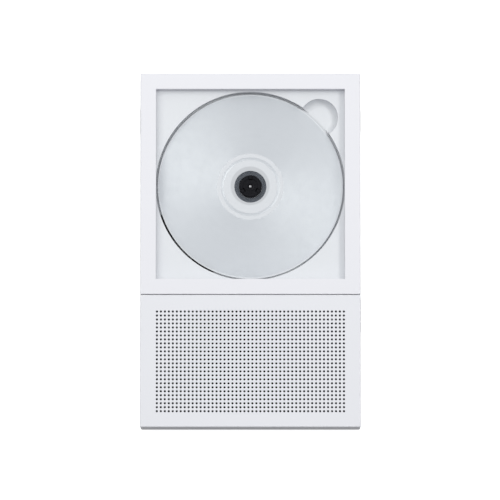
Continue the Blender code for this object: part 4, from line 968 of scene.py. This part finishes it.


# ---------------------------------------------------------------- disc
# A blank 120 mm polycarbonate disc. A fine spiral under the lacquer throws radial streaks of light over the
# silver band and the shallow stacking groove. The rest of the hub zone is satin silver, with a clear middle
# and a painted grey shade just outside it.
DISC_STEPS = 256
DISC_HOLE = 0.0075
CLEAR_RADIUS = 0.01035
STACK_RADIUS = 0.0182
STACK_HALF = 0.0009
STACK_DEPTH = 0.00012
STACK_STEP = 15  # degrees of the groove's round section
SILVER_START = 0.0215
SILVER_END = 0.0590
SILVER_STEP = (0.0002, 0.0004, 0.00003)  # the line where the silver starts: width before, after, and depth
DISC_CHAMFER = 0.00015
CLEAR_RELIEF = 0.00001
HUB_RINGS = 0.0007
RIM_RINGS = 0.0004
RING_RELIEF = 0.0000008
BAND_RINGS = 0.0016
BAND_RELIEF = 0.0000005
SPIRAL_ANISOTROPY = 0.80
ACROSS_THE_SPIRAL = 0.25
SILVER = (0.780, 0.808, 0.842, 1.0)
HUB_SILVER = (0.690, 0.708, 0.738, 1.0)
# HUB_SHADE and the place and edge below it paint a grey shade ring on the hub zone, a little off centre.
HUB_SHADE = (0.55, 0.565, 0.59, 1.0)
RIM_SILVER = (0.69, 0.71, 0.74, 1.0)
CLEAR_TINT = (0.20, 0.225, 0.27, 1.0)
CLEAR_COVER = 0.22
HUB_SHADE_PLACE = (-0.0002, 0.0006, 0.0)
HUB_SHADE_EDGE = (0.0131, 0.0120)


def shade_hub(material):
    """Painted shade: a grey ring, set a little off centre, darkens the hub zone just outside the clear middle.
    """
    tree = material.node_tree
    base = tree.nodes["Principled BSDF"].inputs["Base Color"]
    silver = base.links[0].from_socket
    middle = node_in(tree, "VectorMath", {"operation": "SUBTRACT"})
    tree.links.new(node_in(tree, "TexCoord").outputs["Object"], middle.inputs[0])
    middle.inputs[1].default_value = disc_axis + Vector(HUB_SHADE_PLACE)
    axes = node_in(tree, "SeparateXYZ", Vector=middle.outputs["Vector"]).outputs
    share = spread(tree, distance_from_axis(tree, axes["X"], axes["Y"]), *HUB_SHADE_EDGE)
    tree.links.new(colour_mix(tree, share, silver, HUB_SHADE), base)


def make_disc():
    """The disc turned in one piece, with a finish for each of its zones."""
    low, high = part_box("disc")
    base, top = low[2], high[2]
    outer = (high[0] - low[0]) / 2
    before, after, step_depth = SILVER_STEP
    groove = [
        (STACK_RADIUS + STACK_HALF * sin(radians(a)), top - STACK_DEPTH * cos(radians(a)) ** 2)
        for a in range(-90, 91, STACK_STEP)
    ]
    upper = [
        (DISC_HOLE + DISC_CHAMFER, top),
        (CLEAR_RADIUS, top),
        *groove,
        (SILVER_START - before, top),
        (SILVER_START, top - step_depth),
        (SILVER_START + after, top),
        (SILVER_END, top),
        (outer - DISC_CHAMFER, top),
        (outer, top - DISC_CHAMFER),
    ]
    lower = [
        (outer, base + DISC_CHAMFER),
        (outer - DISC_CHAMFER, base),
        (SILVER_END, base),
        (SILVER_START, base),
        (CLEAR_RADIUS, base),
        (DISC_HOLE + DISC_CHAMFER, base),
        (DISC_HOLE, base + DISC_CHAMFER),
        (DISC_HOLE, top - DISC_CHAMFER),
    ]
    profile = guarded(upper + lower)
    shape = bmesh.new()
    bands = turned(shape, profile, DISC_STEPS, disc_axis, closed=True)
    clear, hub, silver, rim = range(4)
    for band, (first, second) in zip(bands, zip(profile, profile[1:] + profile[:1])):
        middle = (first[0] + second[0]) / 2
        if middle < CLEAR_RADIUS:
            kind = clear
        elif middle > SILVER_END:
            kind = rim
        elif middle < SILVER_START and abs(middle - STACK_RADIUS) > STACK_HALF:
            kind = hub
        else:
            kind = silver
        for face in band:
            face.material_index = kind
    plain_clear = {"IOR": 1.58, "Alpha": CLEAR_COVER, "Coat Weight": 0.2, "Coat Roughness": 0.05}
    clear_values = (PAD_RINGS, CLEAR_RELIEF, 0.12, plain_clear, 0.6)
    clear_finish = ringed("clear_polycarbonate", CLEAR_TINT, disc_axis, *clear_values)
    plain_hub = {"Metallic": 0.25, "Coat Weight": 0.35, "Coat Roughness": 0.15}
    hub_finish = ringed("satin_hub", HUB_SILVER, disc_axis, HUB_RINGS, RING_RELIEF, 0.36, plain_hub, 0.012)
    shade_hub(hub_finish)
    plain_rim = {"Metallic": 0.2, "Coat Weight": 0.3, "Coat Roughness": 0.12}
    rim_finish = ringed("lacquered_rim", RIM_SILVER, disc_axis, RIM_RINGS, RING_RELIEF, 0.40, plain_rim, 0.01)
    plain_silver = {
        "Metallic": 0.70,
        "Anisotropic": SPIRAL_ANISOTROPY,
        "Anisotropic Rotation": ACROSS_THE_SPIRAL,
        "Coat Weight": 0.35,
        "Coat Roughness": 0.10,
    }
    silver_values = (BAND_RINGS, BAND_RELIEF, 0.56, plain_silver, 0.01)
    silver_finish = ringed("silver_spiral", SILVER, disc_axis, *silver_values)
    tree = silver_finish.node_tree
    round_it = node_in(tree, "Tangent", {"direction_type": "RADIAL", "axis": "Z"}).outputs["Tangent"]
    tree.links.new(round_it, tree.nodes["Principled BSDF"].inputs["Tangent"])
    finishes = [clear_finish, hub_finish, silver_finish, rim_finish]
    disc = new_piece("silver_disc", shape, finishes, "disc_body", 50)
    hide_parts("disc")


make_disc()


# ---------------------------------------------------------------- table
# A plain pale painted table top under the player, wide enough that no edge of it shows.
# It lies a hair below the feet, and it looks lit from within so that it stays as pale as the far background.
TABLE_HALF = 6.0
TABLE_GAP = 0.0001
TABLE_GREY = (0.46, 0.46, 0.463, 1.0)
TABLE_GRAINS = 900.0  # grains of the paint in a metre
TABLE_GLOW = 0.85


def make_table():
    shape = bmesh.new()
    bmesh.ops.create_grid(shape, x_segments=4, y_segments=4, size=TABLE_HALF)
    mesh = bpy.data.meshes.new("table_top")
    shape.to_mesh(mesh)
    shape.free()
    table = bpy.data.objects.new("table_top", mesh)
    table.location.z = -TABLE_GAP
    bpy.context.scene.collection.objects.link(table)
    material = bpy.data.materials.new("table_paint")
    material.use_nodes = True
    tree = material.node_tree
    shader = tree.nodes["Principled BSDF"]
    place = node_in(tree, "TexCoord").outputs["Object"]
    grain = node_in(tree, "TexNoise", Vector=place, Scale=TABLE_GRAINS, Detail=2.0).outputs["Fac"]
    lighter = tuple(min(1.0, part * 1.02) for part in TABLE_GREY[:3]) + (1.0,)
    tree.links.new(colour_mix(tree, grain, TABLE_GREY, lighter), shader.inputs["Base Color"])
    shader.inputs["Roughness"].default_value = 0.9
    shader.inputs["Specular IOR Level"].default_value = 0.1
    seen = node_in(tree, "LightPath").outputs["Is Camera Ray"]
    shader.inputs["Emission Color"].default_value = (1.0, 1.0, 1.0, 1.0)
    tree.links.new(reckon(tree, "MULTIPLY", seen, TABLE_GLOW), shader.inputs["Emission Strength"])
    mesh.materials.append(material)


make_table()


# ---------------------------------------------------------------- light
# A pale sky, darker low down and towards the near side, with three soft round lamps. Only the widest shows in
# gloss: it is the one that throws the streaks over the disc.
SKY_TOP = (0.715, 0.73, 0.755, 1.0)
SKY_EDGE = (0.20, 0.203, 0.21, 1.0)
SKY_LEAN = 0.3
SKY_FULL = 0.85
LAMPS = (  # name, azimuth, elevation, distance, width, power, shows in gloss
    ("key_lamp", 22, 57, 1.5, 0.34, 4.6, False),
    ("wide_lamp", 147, 62, 1.5, 0.9, 4.4, True),
    ("far_lamp", 90, 62, 0.7, 0.5, 0.48, False),
)
LAMP_TINT = (1.0, 1.0, 0.95)


def make_light():
    world = bpy.data.worlds.new("studio_sky")
    bpy.context.scene.world = world
    world.use_nodes = True
    tree = world.node_tree
    place = node_in(tree, "SeparateXYZ", Vector=node_in(tree, "TexCoord").outputs["Generated"]).outputs
    height = reckon(tree, "ADD", place["Z"], reckon(tree, "MULTIPLY", place["Y"], SKY_LEAN))
    sky = colour_mix(tree, spread(tree, height, 0.0, SKY_FULL), SKY_EDGE, SKY_TOP)
    tree.links.new(sky, tree.nodes["Background"].inputs["Color"])
    for name, azimuth, elevation, distance, width, power, in_gloss in LAMPS:
        lamp = bpy.data.lights.new(name, "AREA")
        lamp.shape = "DISK"
        lamp.size = width
        lamp.energy = power
        lamp.color = LAMP_TINT
        holder = bpy.data.objects.new(name, lamp)
        holder.visible_glossy = in_gloss
        bpy.context.scene.collection.objects.link(holder)
        a, e = radians(azimuth), radians(elevation)
        way = Vector((cos(e) * cos(a), cos(e) * sin(a), sin(e)))
        holder.location = way * distance
        holder.rotation_euler = way.to_track_quat("Z", "Y").to_euler()


make_light()


# ---------------------------------------------------------------- camera
# A long lens stands high over the player, a little towards the speaker end, and looks down almost square to
# the front, so that a thin strip of the near wall shows.
CAMERA_PLACE = (-0.00026, -0.3762, 4.0211)
CAMERA_TILT = radians(5.380)
CAMERA_LENS = 447.7
CAMERA_SENSOR = 36.0
CAMERA_REACH = 100.0


def make_camera():
    eye = bpy.data.cameras.new("camera")
    eye.lens = CAMERA_LENS
    eye.sensor_width = CAMERA_SENSOR
    eye.clip_end = CAMERA_REACH
    holder = bpy.data.objects.new("camera", eye)
    bpy.context.scene.collection.objects.link(holder)
    holder.location = CAMERA_PLACE
    holder.rotation_euler = (CAMERA_TILT, 0.0, 0.0)
    bpy.context.scene.camera = holder
    bpy.context.scene.view_settings.view_transform = "Standard"


make_camera()
